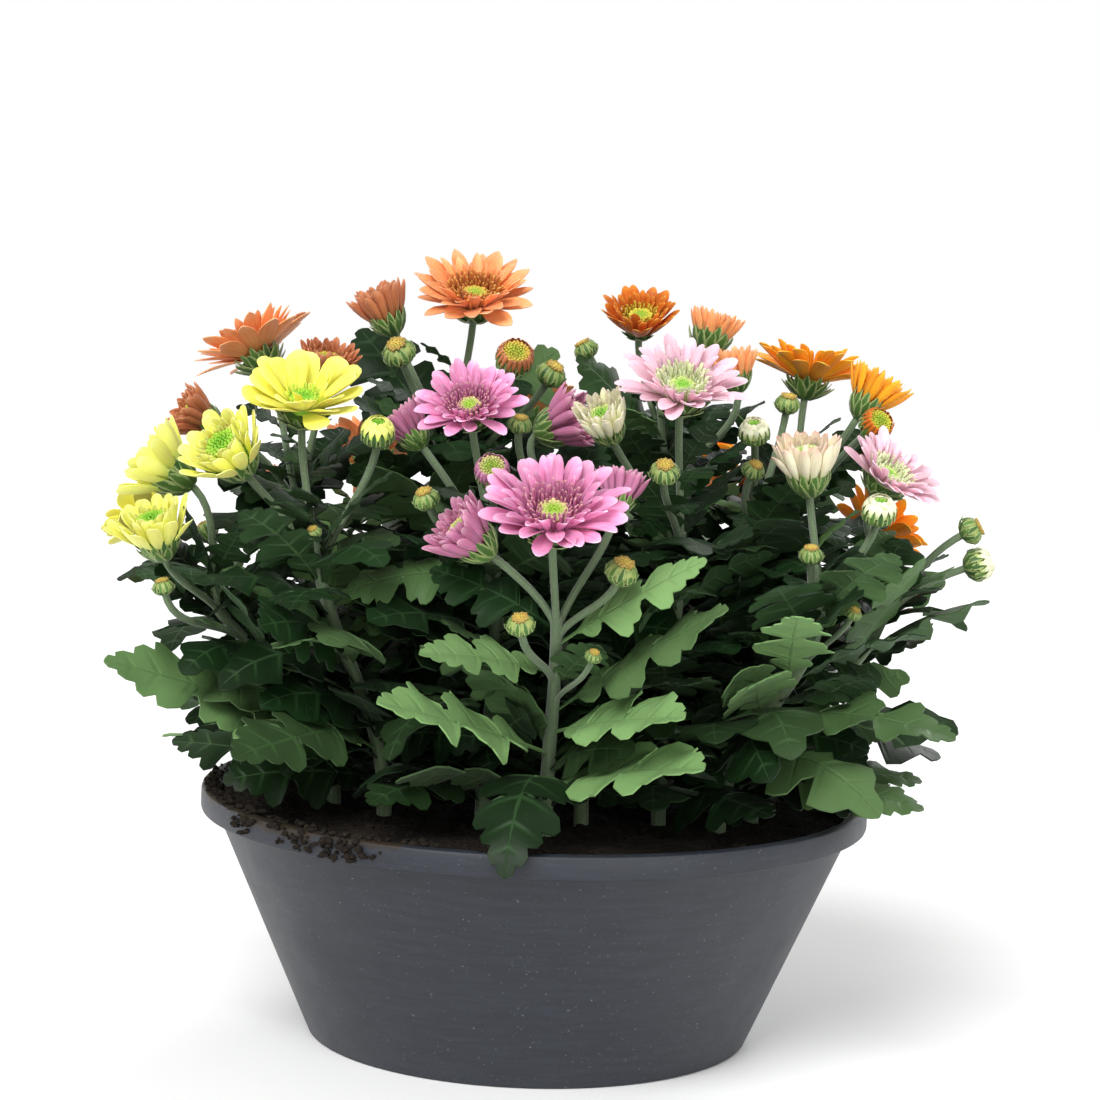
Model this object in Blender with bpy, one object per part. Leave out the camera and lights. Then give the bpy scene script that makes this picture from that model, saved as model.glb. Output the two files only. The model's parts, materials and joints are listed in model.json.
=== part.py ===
"""Pot chrysanthemum: young plants of five flower colours grown together in a wide bowl pot.

The pot's axis is Z, its flat base stands on z = 0 and the side that is looked at faces -Y. Tables
and lengths are in millimetres, heads' parts are shares of the head's width, and angles are in
degrees. Each leafy stem is one body with its flower stalks, green cups, closed buds and leaves. Each
opened head is one more body, seated in its green cup, and the foremost blooms have their green eye
as a body of its own. A leaf takes its planned place, or else the first one near it that is clear of
everything placed before it.
"""

import math
import random
from collections import namedtuple

import bmesh
import bpy
from mathutils import Matrix, Vector, geometry, noise
from mathutils.bvhtree import BVHTree

MM = 0.001
GAP = 0.3

# The bowl pot
POT_HEIGHT = 85
RIM_RADIUS = 115
RIM_BAND = 8
LIP_RADIUS = 111.2
WALL_TOP_RADIUS = 110
BASE_RADIUS = 76
HEEL_RADIUS = 78
HEEL_HEIGHT = 4
WALL = 2.2
POT_SIDES = 32
DRAIN_HOLES = 5
DRAIN_RADIUS = 4
DRAIN_CIRCLE = 50

# The potting soil, heaped to the lip at the left
SOIL_LEVEL = 80
SOIL_BUMP = 1.6
SOIL_SIDES = 18
SOIL_RINGS = (0.93, 0.66, 0.34)
HEAP_AT = Vector((-98, -4))
HEAP_HEIGHT = 11
HEAP_SPREAD = 26
ROOT_DEPTH = 14
SOCKET_RADIUS = 3.6

# Stems, flower stalks and leaves
STEM_FOOT_RADIUS = 2.5
STEM_TOP_RADIUS = 1.8
STALK_RADIUS = 1.15
STEM_POINTS = 4
STALK_POINTS = 3
BLADE = 0.8
FIRST_LEAF = 8
SHADE_RADIUS = 47
FIRST_SHADED_LEAF = 42
LEAF_SPACING = 14
TURN_TO_LIGHT = 0.7
GOLDEN_ANGLE = 137.5
LOW_LEAF = 56
HIGH_LEAF = 45
CLEARANCE = 0.9
CLEAR_FROM = 6
LIP_CLEARANCE = 2.5
SEED = 4

# A leaf's half-width at shares of its length, also as a share of its length: two lobes on each side.
# Its root is a point in the stem.
LEAF_OUTLINE = ((0.45, 0.27), (0.57, 0.11), (0.8, 0.22))

# kind is open, half (a cup of petals), ring (a bud whose petals just show) or bud (closed and green).
# A ring or a bud is part of its stem. at is the middle of the head, face the way it looks, width its
# diameter, and branch how far up the stem its stalk leaves, from 0 at the soil to 1 at the crown.
Head = namedtuple("Head", "name kind at face width branch")
Stem = namedtuple("Stem", "name colour root crown heads")
Leaf = namedtuple("Leaf", "up heading pitch droop roll length")
# A leaf whose tip has a chosen place
AimedLeaf = namedtuple("AimedLeaf", "up tip droop roll")

STEMS = (
    Stem("pink_stem_front", "pink", (4, -58), (5, -90, 156), (
        Head("pink_bloom_front", "open", (3, -105, 188), (0, -0.55, 0.84), 50, 1),
        Head("pink_bud_low", "half", (-25, -93, 182), (-0.75, -0.3, 0.6), 21, 0.97),
        Head("pink_bud_behind", "half", (24, -76, 197), (0.15, 0.15, 1), 16, 0.93),
        Head("green_bud_right", "bud", (25, -100, 173), (0.25, -0.4, 0.9), 12, 0.9),
        Head("green_bud_low", "bud", (-6, -107, 156), (-0.1, -0.5, 0.85), 10, 0.66),
    )),
    Stem("pink_stem_left", "pink", (-17, -46), (-16, -56, 172), (
        Head("pink_bloom_back", "open", (-25, -60, 218), (-0.1, -0.62, 0.78), 38, 1),
        Head("pink_ring", "ring", (-17, -74, 200), (-0.05, -0.75, 0.65), 14, 0.94),
        Head("pink_bud_left", "half", (-47, -36, 212), (-0.6, 0.05, 0.75), 17, 0.9),
        Head("green_bud_left", "bud", (-38, -72, 191), (-0.3, -0.4, 0.85), 10, 0.84),
    )),
    Stem("pink_stem_right", "pink", (16, -40), (4, -34, 180), (
        Head("pink_bud_right", "half", (7, -28, 214), (0.8, -0.25, 0.35), 21, 1),
        Head("green_bud_right", "bud", (-9, -42, 214), (0.1, -0.3, 0.9), 9, 0.93),
    )),
    Stem("pale_stem_middle", "pale", (42, -34), (45, -46, 180), (
        Head("pale_bloom_middle", "open", (43, -56, 226), (0.02, -0.55, 0.84), 44, 1),
        Head("pale_bud_left", "half", (18, -55, 217), (-0.35, -0.5, 0.75), 18, 0.9),
        Head("green_bud", "bud", (38, -68, 202), (0, -0.6, 0.8), 11, 0.95),
    )),
    Stem("pale_stem_front", "pale", (62, -40), (91, -54, 160), (
        Head("pale_cup", "half", (85, -51, 206), (-0.12, -0.25, 0.95), 22, 1),
        Head("pale_ring_front", "ring", (108, -61, 191), (0.05, -0.45, 0.88), 14, 0.94),
        Head("green_bud", "bud", (86, -68, 177), (-0.05, -0.3, 0.95), 9, 0.8),
    )),
    Stem("pale_stem_right", "pale", (74, -22), (116, -20, 156), (
        Head("pale_bloom_right", "open", (112, -37, 199), (0.48, -0.42, 0.77), 38, 1),
        Head("pale_ring_far", "ring", (148, -15, 170), (0.93, -0.05, 0.35), 14, 0.92),
        Head("green_bud", "bud", (145, -18, 182), (0.85, -0.15, 0.5), 11, 0.86),
    )),
    Stem("pale_stem_back", "pale", (55, -12), (70, -16, 176), (
        Head("pale_ring_back", "ring", (69, -27, 213), (-0.1, -0.5, 0.85), 13, 1),
        Head("green_bud_low", "bud", (69, -34, 201), (0.3, -0.5, 0.8), 9, 0.93),
        Head("green_bud_high", "bud", (82, 0, 222), (0.1, -0.3, 0.95), 10, 0.96),
    )),
    Stem("bronze_stem_top", "bronze", (30, 24), (42, 28, 200), (
        Head("bronze_bloom_top", "open", (31, 30, 245), (0.02, -0.5, 0.86), 29, 1),
        Head("bronze_bud_pale", "half", (57, 30, 246), (0.25, 0.05, 0.95), 18, 0.95),
        Head("bronze_bud_hidden", "half", (63, 4, 234), (-0.2, 0.05, 0.97), 17, 0.88),
        Head("green_bud_left", "bud", (12, 32, 237), (-0.5, -0.1, 0.85), 10, 0.9),
        Head("green_bud_low", "bud", (38, 8, 233), (0, -0.6, 0.8), 12, 0.84),
    )),
    Stem("bronze_stem_right", "bronze", (62, 18), (88, 26, 184), (
        Head("bronze_bloom_right", "open", (91, 28, 229), (0.15, 0.12, 0.95), 43, 1),
        Head("bronze_bud_right", "half", (112, 3, 227), (0.5, 0.1, 0.85), 20, 0.94),
        Head("bronze_ring", "ring", (111, -14, 216), (0.4, -0.75, 0.5), 14, 0.9),
    )),
    Stem("bronze_stem_far", "bronze", (82, 36), (106, 40, 146), (
        Head("bronze_bloom_far", "open", (120, 56, 172), (0.68, 0.5, 0.54), 40, 1),
        Head("bronze_bud_low", "half", (122, 8, 199), (0.35, -0.1, 0.93), 18, 0.96),
        Head("green_bud", "bud", (96, 72, 172), (0.1, 0.7, 0.7), 10, 0.9),
    )),
    Stem("bronze_stem_back", "bronze", (36, 60), (50, 82, 160), (
        Head("bronze_bloom_back", "open", (50, 104, 192), (0.25, 0.66, 0.7), 46, 1),
        Head("bronze_bud_back", "half", (80, 90, 180), (0.5, 0.6, 0.65), 21, 0.92),
        Head("green_bud", "bud", (18, 100, 188), (-0.1, 0.6, 0.8), 12, 0.9),
    )),
    Stem("peach_stem_top", "peach", (-30, 18), (-33, 14, 204), (
        Head("peach_bloom_top", "open", (-27, 20, 252), (0.05, -0.5, 0.86), 46, 1),
        Head("peach_ring", "ring", (-12, -8, 234), (0.15, -0.75, 0.65), 16, 0.93),
        Head("peach_bud_high", "half", (-59, 16, 250), (-0.4, -0.1, 0.9), 20, 0.9),
        Head("green_bud_left", "bud", (-52, -2, 235), (-0.25, -0.6, 0.75), 13, 0.87),
        Head("green_bud_right", "bud", (1, 6, 229), (0.4, -0.4, 0.85), 12, 0.84),
    )),
    Stem("peach_stem_left", "peach", (-64, 20), (-88, 20, 184), (
        Head("peach_bloom_left", "open", (-103, 26, 231), (-0.5, 0.24, 0.83), 46, 1),
        Head("peach_bud_left", "half", (-121, -6, 211), (-0.85, -0.3, 0.45), 18, 0.93),
        Head("peach_bud_right", "half", (-77, 12, 229), (0.15, -0.35, 0.93), 19, 0.9),
    )),
    Stem("peach_stem_back", "peach", (-44, 52), (-62, 76, 158), (
        Head("peach_bloom_back", "open", (-66, 96, 190), (-0.35, 0.66, 0.68), 46, 1),
        Head("peach_bud_back", "half", (-100, 74, 178), (-0.7, 0.45, 0.6), 20, 0.92),
        Head("green_bud", "bud", (-86, 102, 164), (-0.4, 0.8, 0.5), 11, 0.8),
    )),
    Stem("peach_stem_middle", "peach", (-8, 54), (-8, 68, 178), (
        Head("peach_bloom_middle", "open", (-10, 88, 210), (-0.05, 0.6, 0.8), 44, 1),
        Head("green_bud", "bud", (-32, 104, 186), (-0.2, 0.7, 0.75), 12, 0.92),
    )),
    Stem("yellow_stem_front", "yellow", (-50, -36), (-74, -52, 170), (
        Head("yellow_bloom_front", "open", (-80, -46, 217), (0.08, -0.5, 0.86), 46, 1),
        Head("yellow_bud_front", "half", (-104, -56, 203), (-0.45, -0.6, 0.65), 24, 0.95),
        Head("yellow_ring", "ring", (-55, -52, 210), (0.05, -0.45, 0.88), 14, 0.9),
    )),
    Stem("yellow_stem_left", "yellow", (-68, -22), (-108, -34, 148), (
        Head("yellow_bud_low", "half", (-127, -54, 177), (-0.25, -0.35, 0.9), 22, 1),
        Head("yellow_bud_side", "half", (-130, -30, 196), (-0.85, 0, 0.52), 25, 0.96),
        Head("green_bud", "bud", (-123, -58, 158), (-0.2, -0.2, 0.95), 8, 0.8),
    )),
    Stem("yellow_stem_back", "yellow", (-74, 2), (-116, 14, 146), (
        Head("yellow_bloom_back", "open", (-138, 22, 172), (-0.82, 0.2, 0.54), 40, 1),
        Head("green_bud", "bud", (-122, 46, 166), (-0.6, 0.5, 0.65), 10, 0.88),
    )),
)

# The leaves that show best, by stem
AIMED_LEAVES = {
    "pink_stem_front": (
        AimedLeaf(0.7, (-34, -112, 144), 20, -52),
        AimedLeaf(0.85, (43, -117, 176), 10, 42),
        AimedLeaf(0.5, (56, -112, 162), 8, 34),
        AimedLeaf(0.3, (-47, -118, 130), 8, -48),
        AimedLeaf(0.4, (42, -122, 129), 12, 52),
        AimedLeaf(0.15, (48, -125, 114), 14, 40),
        AimedLeaf(0.08, (-4, -126, 92), 70, 0),
    ),
    "pale_stem_front": (
        AimedLeaf(0.6, (80, -100, 160), 20, 0),
        AimedLeaf(0.25, (126, -66, 94), 6, 20),
        AimedLeaf(0.45, (130, -88, 120), 30, 16),
    ),
    "pale_stem_right": (AimedLeaf(0.6, (146, -52, 164), 10, 26),),
    "yellow_stem_front": (AimedLeaf(0.3, (-90, -102, 108), 16, -30),),
    "yellow_stem_left": (
        AimedLeaf(0.3, (-128, -76, 130), 14, -40),
        AimedLeaf(0.6, (-144, -54, 160), 4, -60),
    ),
}

# How far the middle of a head stands above its seat, and its green cup's radius and depth
SEAT = {"open": 0.04, "half": 0.3, "ring": 0.05, "bud": 0.05}
CUP_RADIUS = {"open": 0.17, "half": 0.3, "ring": 0.42, "bud": 0.45}
CUP_DEPTH = {"open": 0.14, "half": 0.3, "ring": 0.36, "bud": 0.42}

# Turned profiles over the seat: radius, height, and how much less of each a groove has
BLOOM_CUP = ((0.12, 0, 0, 0), (0.3, 0.19, 0.11, 0.06), (0.27, 0.2, 0.1, 0.06), (0.15, 0.09, 0, 0))
BLOOM_CUP_MIDDLE = 0.14
EYE_FLOOR = 0.09
EYE = ((0.12, 0, 0.01, 0), (0.14, 0.05, 0.02, 0.01), (0.07, 0.1, 0.01, 0.02))
EYE_TOP = 0.07
HALF_CUP = ((0.28, 0, 0, 0), (0.5, 0.6, 0.13, 0.14), (0.44, 0.62, 0.12, 0.14), (0.24, 0.42, 0, 0))
HALF_CUP_MIDDLE = 0.54
BUD_TOPS = {
    "bud": ((0.5, 0.08, 0.07, 0), (0.3, 0.38, 0.05, 0.04), 0.44),
    "ring": ((0.5, 0.24, 0.09, 0.06), (0.26, 0.3, 0.02, 0), 0.26),
}
BLOOM_FLUTES, HALF_FLUTES, EYE_FLUTES, CUP_FLUTES, BUD_FLUTES = 5, 5, 4, 3, 4

# The outer petals of a bloom: how many, the radius of the notch between two, of their widest place
# and of their tips, their half-width, and how far every other one rises
OUTER_PETALS = 10
PETAL_NOTCH, PETAL_WIDE, PETAL_TIP, PETAL_HALF_WIDTH = 0.16, 0.39, 0.5, 0.103
PETAL_RISE = (9, 17)

BLOOMS_WITH_EYES = {
    "pink_bloom_front", "pink_bloom_back", "pale_bloom_middle", "pale_bloom_right",
    "bronze_bloom_top", "peach_bloom_top", "yellow_bloom_front",
}

PETAL_COLOURS = {
    "pink": (0.62, 0.13, 0.4), "pale": (0.85, 0.58, 0.62), "bronze": (0.72, 0.2, 0.02),
    "peach": (0.85, 0.33, 0.1), "yellow": (0.95, 0.85, 0.1),
}


def material(name, colour, roughness, metallic=0.0):
    made = bpy.data.materials.new(name)
    made.use_nodes = True
    shader = made.node_tree.nodes["Principled BSDF"]
    shader.inputs["Base Color"].default_value = (*colour, 1)
    shader.inputs["Roughness"].default_value = roughness
    shader.inputs["Metallic"].default_value = metallic
    return made


def make_node(name, bodies, colour, roughness, operation="UNION"):
    """One object in metres from bodies in millimetres: the first, joined with or cut by the others."""
    made = []
    for body in bodies:
        mesh = bpy.data.meshes.new(name)
        body.transform(Matrix.Scale(MM, 4))
        body.to_mesh(mesh)
        body.free()
        made.append(bpy.data.objects.new(name, mesh))
    node, *others = made
    bpy.context.scene.collection.objects.link(node)
    if others:
        apply_boolean(node, others, operation)
    node.name = node.data.name = name
    node.data.materials.append(material(name, colour, roughness))
    node.data.set_sharp_from_angle(angle=math.radians(40))
    return node


def apply_boolean(node, others, operation):
    group = bpy.data.collections.new(node.name)
    bpy.context.scene.collection.children.link(group)
    for other in others:
        group.objects.link(other)
    modifier = node.modifiers.new(operation.lower(), "BOOLEAN")
    modifier.operation = operation
    modifier.operand_type = "COLLECTION"
    modifier.collection = group
    graph = bpy.context.evaluated_depsgraph_get()
    mesh = bpy.data.meshes.new_from_object(node.evaluated_get(graph))
    node.modifiers.remove(modifier)
    node.data = mesh
    for other in others:
        bpy.data.objects.remove(other)
    bpy.data.collections.remove(group)


def turned(profile, foot, top, sides, frame=Matrix()):
    """A closed solid turned about Z. Its profile runs up from the foot to the top, both on the axis.
    Every second meridian is a groove, with less radius and height where the profile says so."""
    bm = bmesh.new()
    places = [(0, foot, 0, 0), *profile, (0, top, 0, 0)]
    chain = [bm.verts.new((row[0], 0, row[1])) for row in places]
    edges = [bm.edges.new(pair) for pair in zip(chain, chain[1:])]
    bmesh.ops.spin(bm, geom=chain + edges, cent=(0, 0, 0), axis=(0, 0, 1), angle=math.tau, steps=sides,
                   use_merge=True)
    bmesh.ops.remove_doubles(bm, verts=bm.verts, dist=1e-3)
    for v in bm.verts:
        row = min(places, key=lambda row: abs(row[0] - v.co.xy.length) + abs(row[1] - v.co.z))
        meridian = round(math.atan2(v.co.y, v.co.x) / math.tau * sides)
        if meridian % 2:
            v.co.xy *= 1 - row[2] / max(row[0], 1e-6)
            v.co.z -= row[3]
    return closed(bm, frame)


def closed(bm, frame=Matrix()):
    """A finished body in its place, split into triangles, with its faces pointing out."""
    bmesh.ops.triangulate(bm, faces=bm.faces)
    bm.transform(frame)
    bmesh.ops.recalc_face_normals(bm, faces=bm.faces)
    if bm.calc_volume(signed=True) < 0:
        bmesh.ops.reverse_faces(bm, faces=bm.faces)
    return bm


def fluted(profile, foot, top, flutes, frame, scale):
    """A turned solid whose profile is in shares of scale."""
    rows = [[scale * value for value in row] for row in profile]
    return turned(rows, foot * scale, top * scale, 2 * flutes, frame)


def tube(points, start_radius, end_radius):
    """A tapering square stem along points, with flat ends."""
    curve = bpy.data.curves.new("guide", "CURVE")
    curve.dimensions = "3D"
    curve.bevel_depth = 1
    curve.bevel_resolution = 0
    curve.use_fill_caps = True
    spline = curve.splines.new("POLY")
    spline.points.add(len(points) - 1)
    for k, (point, place) in enumerate(zip(spline.points, points)):
        share = k / (len(points) - 1)
        point.co = (*place, 1)
        point.radius = start_radius + (end_radius - start_radius) * share
    guide = bpy.data.objects.new("guide", curve)
    mesh = bpy.data.meshes.new_from_object(guide)
    bpy.data.objects.remove(guide)
    bm = bmesh.new()
    bm.from_mesh(mesh)
    bpy.data.meshes.remove(mesh)
    bmesh.ops.remove_doubles(bm, verts=bm.verts, dist=1e-3)
    return closed(bm)


def cylinder(radius, low, high, x, y, sides):
    return turned([(radius, low, 0, 0), (radius, high, 0, 0)], low, high, sides,
                  Matrix.Translation((x, y, 0)))


def blade(root, length, droop, frame, thick):
    """A thin closed leaf along X, from its root to its tip, that bends down by droop over its length.
    Both its faces are split into the same triangles, from rung to rung."""
    def bent(along, across):
        turn = math.radians(droop) * along or 1e-6
        radius = length * along / turn
        return frame @ Vector((radius * math.sin(turn), across, radius * (math.cos(turn) - 1) + thick / 2))

    bm = bmesh.new()
    left = [bm.verts.new(bent(u, length * v)) for u, v in LEAF_OUTLINE]
    right = [bm.verts.new(bent(u, -length * v)) for u, v in LEAF_OUTLINE]
    start, tip = bm.verts.new(bent(root, 0)), bm.verts.new(bent(1, 0))
    bm.faces.new((start, right[0], left[0]))
    for a, b, c, d in zip(left, right, right[1:], left[1:]):
        bm.faces.new((a, b, c))
        bm.faces.new((a, c, d))
    bm.faces.new((left[-1], right[-1], tip))
    bm.normal_update()
    bmesh.ops.solidify(bm, geom=bm.faces[:], thickness=thick)
    return closed(bm)


def petal_ring(frame, width):
    """A bloom's outer petals, as one thin star. Every second petal stands a little higher."""
    bm = bmesh.new()
    step = math.tau / OUTER_PETALS

    def point(radius, across, angle, rise):
        lift = max(radius - PETAL_NOTCH, 0) * math.tan(math.radians(rise))
        flat = Matrix.Rotation(angle, 3, "Z") @ Vector((radius, across, lift))
        return bm.verts.new(flat * width + Vector((0, 0, BLADE)))

    middle = point(0, 0, 0, 0)
    notches = [point(PETAL_NOTCH, 0, (k - 0.5) * step, 0) for k in range(OUTER_PETALS)]
    for k in range(OUTER_PETALS):
        rise = PETAL_RISE[k % 2]
        start, end = notches[k], notches[(k + 1) % OUTER_PETALS]
        low = point(PETAL_WIDE, -PETAL_HALF_WIDTH, k * step, rise)
        high = point(PETAL_WIDE, PETAL_HALF_WIDTH, k * step, rise)
        tip = point(PETAL_TIP, 0, k * step, rise)
        for face in ((middle, start, end), (start, low, end), (low, high, end), (low, tip, high)):
            bm.faces.new(face)
    bm.normal_update()
    bmesh.ops.solidify(bm, geom=bm.faces[:], thickness=BLADE)
    return closed(bm, frame)


def head_frame(head):
    """A head's own frame: Z the way it faces, and its origin on the top of the green cup."""
    face = Vector(head.face).normalized()
    seat = Vector(head.at) - face * SEAT[head.kind] * head.width
    return Matrix.Translation(seat) @ face.to_track_quat("Z", "X").to_matrix().to_4x4()


def green_cup(head):
    """The green cup under an opened head, or the whole of a bud."""
    radius, depth = CUP_RADIUS[head.kind], CUP_DEPTH[head.kind]
    if head.kind in BUD_TOPS:
        *rows, top = BUD_TOPS[head.kind]
        profile = ((0.75 * radius, -0.6 * depth, 0, 0), *rows)
        return fluted(profile, -depth, top, BUD_FLUTES, head_frame(head), head.width)
    profile = ((0.72 * radius, -0.7 * depth, 0, 0), (radius, 0, 0.16 * radius, 0))
    return fluted(profile, -depth, 0, CUP_FLUTES, head_frame(head), head.width)


def petals(head):
    """The bodies of an opened head's petals, a gap above its green cup."""
    frame = head_frame(head) @ Matrix.Translation((0, 0, GAP))
    if head.kind == "half":
        return [fluted(HALF_CUP, 0, HALF_CUP_MIDDLE, HALF_FLUTES, frame, head.width)]
    middle = EYE_FLOOR if head.name in BLOOMS_WITH_EYES else BLOOM_CUP_MIDDLE
    inner = frame @ Matrix.Translation((0, 0, BLADE / 2))
    return [petal_ring(frame, head.width), fluted(BLOOM_CUP, 0, middle, BLOOM_FLUTES, inner, head.width)]


def eye(head):
    """The eye of small closed florets that lies in the middle of a bloom."""
    frame = head_frame(head) @ Matrix.Translation((0, 0, BLADE / 2 + 2 * GAP + EYE_FLOOR * head.width))
    return fluted(EYE, 0, EYE_TOP, EYE_FLUTES, frame, head.width)


def soil_height(x, y):
    heap = HEAP_HEIGHT * math.exp(-(Vector((x, y)) - HEAP_AT).length_squared / HEAP_SPREAD ** 2)
    return SOIL_LEVEL + heap + SOIL_BUMP * noise.noise(Vector((x, y, SEED)) / 17)


def stem_line(stem):
    """Points from a stem's foot in the soil, straight up out of it and over to its crown."""
    foot = Vector((*stem.root, SOIL_LEVEL - ROOT_DEPTH))
    start = Vector((*stem.root, SOIL_LEVEL + 4))
    crown = Vector(stem.crown)
    way = (Vector(stem.heads[0].at) - crown).normalized()
    reach = (crown - start).length
    return [foot, *geometry.interpolate_bezier(
        start, start + Vector((0, 0, reach * 0.35)), crown - way * reach * 0.3, crown, STEM_POINTS)]


def at_share(line, share):
    """The point at a share of a stem's way from the soil to its crown, and the way it runs there."""
    place = 1 + share * (len(line) - 2)
    k = min(int(place), len(line) - 2)
    return line[k].lerp(line[k + 1], place - k), (line[k + 1] - line[k]).normalized()


def stalk_line(head, line):
    """Points from inside a stem to inside the green cup of a head."""
    start, way = at_share(line, head.branch)
    start = start - way * 1.5
    face = Vector(head.face).normalized()
    end = head_frame(head) @ Vector((0, 0, -0.6 * CUP_DEPTH[head.kind] * head.width))
    reach = (end - start).length
    way = (way + (end - start) / reach).normalized()
    return geometry.interpolate_bezier(
        start, start + way * reach * 0.35, end - face * reach * 0.35, end, STALK_POINTS)


def planned_leaves(stem, line):
    """The leaves with a chosen place, then leaves up the stem by the golden angle, drawn in towards
    the light outside. They are long and level at its foot, and short and steep at its top."""
    for aimed in AIMED_LEAVES.get(stem.name, ()):
        chord = Vector(aimed.tip) - at_share(line, aimed.up)[0]
        half = math.radians(aimed.droop) / 2
        heading = math.degrees(math.atan2(chord.y, chord.x))
        pitch = math.degrees(math.asin(chord.z / chord.length)) + aimed.droop / 2
        yield Leaf(aimed.up, heading, pitch, aimed.droop, aimed.roll, chord.length * half / math.sin(half))
    draw = random.Random(f"{SEED} {stem.name}")
    reach = sum((b - a).length for a, b in zip(line[1:], line[2:]))
    outward = math.degrees(math.atan2(stem.crown[1], stem.crown[0]))
    shaded = Vector(stem.root).length < SHADE_RADIUS
    first, turn = (FIRST_SHADED_LEAF, 1) if shaded else (FIRST_LEAF, TURN_TO_LIGHT)
    for k in range(int((reach - first) / LEAF_SPACING) + 1):
        up = (first + k * LEAF_SPACING) / reach
        round_the_stem = (k * GOLDEN_ANGLE + 180) % 360 - 180
        heading = outward + turn * round_the_stem + draw.uniform(-15, 15)
        yield Leaf(up, heading, 14 + 40 * up + draw.uniform(-8, 8), draw.uniform(18, 44),
                   draw.uniform(-36, 36), LOW_LEAF + (HIGH_LEAF - LOW_LEAF) * up)


def choices(leaf):
    """A planned leaf, then the same leaf turned, tipped and at last shortened."""
    for length in (1, 0.84, 0.68):
        for pitch in (0, 12, -12, 24):
            for heading in (0, 14, -14, 28, -28):
                yield leaf._replace(heading=leaf.heading + heading, pitch=leaf.pitch + pitch,
                                    length=leaf.length * length)


def leaf_frame(leaf, line):
    """A leaf's own frame: X along its midrib, Y across the blade and Z out of its upper face."""
    turn = Matrix.Rotation(math.radians(leaf.heading), 4, "Z")
    tip_up = Matrix.Rotation(-math.radians(leaf.pitch), 4, "Y")
    roll = Matrix.Rotation(math.radians(leaf.roll), 4, "X")
    return Matrix.Translation(at_share(line, leaf.up)[0]) @ turn @ tip_up @ roll


def is_over_the_pot(bm):
    """Whether a leaf is above the soil, and above the lip as far out as that reaches."""
    for v in bm.verts:
        if v.co.xy.length < RIM_RADIUS + LIP_CLEARANCE:
            if v.co.z < max(POT_HEIGHT, soil_height(v.co.x, v.co.y) + 1) + LIP_CLEARANCE:
                return False
    return True


def clear_leaf(leaf, line, stem_name, obstacles):
    """The first choice of a leaf that is clear of the obstacles, and joins them, or None. It is clear
    of its own stem, stalks and leaves from a little way out, and of all the others from its root."""
    thick = BLADE + 2 * CLEARANCE
    for choice in choices(leaf):
        frame = leaf_frame(choice, line)
        whole = blade(0, choice.length, choice.droop, frame, thick)
        outer = blade(CLEAR_FROM / choice.length, choice.length, choice.droop, frame, thick)
        trees = {True: BVHTree.FromBMesh(outer), False: BVHTree.FromBMesh(whole)}
        free = is_over_the_pot(outer) and not any(
            trees[owner == stem_name].overlap(other) for owner, other in obstacles)
        whole.free()
        outer.free()
        if free:
            obstacles.append((stem_name, trees[False]))
            return blade(0, choice.length, choice.droop, frame, BLADE)
    return None


def inside_of_pot():
    """Radius and height up the inside of the pot's wall, from its floor to just under the lip."""
    inner = WALL_TOP_RADIUS - WALL
    return [(BASE_RADIUS - WALL, WALL), (HEEL_RADIUS - WALL, HEEL_HEIGHT), (inner, POT_HEIGHT - RIM_BAND),
            (inner, POT_HEIGHT - 3)]


def make_pot():
    under_band = POT_HEIGHT - RIM_BAND
    profile = [
        (BASE_RADIUS, 0, 0, 0), (HEEL_RADIUS, HEEL_HEIGHT, 0, 0), (WALL_TOP_RADIUS, under_band, 0, 0),
        (RIM_RADIUS, under_band, 0, 0), (RIM_RADIUS, POT_HEIGHT - 1.2, 0, 0),
        (RIM_RADIUS - 1.2, POT_HEIGHT, 0, 0), (LIP_RADIUS, POT_HEIGHT, 0, 0),
        *((radius, height, 0, 0) for radius, height in reversed(inside_of_pot())),
    ]
    bowl = turned(profile, 0, WALL, POT_SIDES)
    turns = [math.tau * (k + 0.5) / DRAIN_HOLES for k in range(DRAIN_HOLES)]
    drains = [cylinder(DRAIN_RADIUS, -1, WALL + 1, DRAIN_CIRCLE * math.cos(t), DRAIN_CIRCLE * math.sin(t), 6)
              for t in turns]
    make_node("pot", [bowl, *drains], (0.03, 0.035, 0.045), 0.45, "DIFFERENCE")


def make_soil():
    fit = math.cos(math.pi / POT_SIDES)
    *sides, (wall_radius, edge) = [(fit * radius - 2 * GAP, height) for radius, height in inside_of_pot()]
    profile = [(radius, height + GAP, 0, 0) for radius, height in sides]
    profile += [(wall_radius, edge - GAP, 0, 0)]
    profile += [(wall_radius * share, POT_HEIGHT + k, 0, 0) for k, share in enumerate(SOIL_RINGS)]
    soil = turned(profile, WALL + GAP, POT_HEIGHT + 9, SOIL_SIDES)
    for v in soil.verts:
        if v.co.z > POT_HEIGHT - 1:
            v.co.z = soil_height(v.co.x, v.co.y)
    sockets = [cylinder(SOCKET_RADIUS, SOIL_LEVEL - ROOT_DEPTH - GAP, POT_HEIGHT + 20, *stem.root, 5)
               for stem in STEMS]
    make_node("soil", [soil, *sockets], (0.018, 0.012, 0.009), 0.95, "DIFFERENCE")


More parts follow.
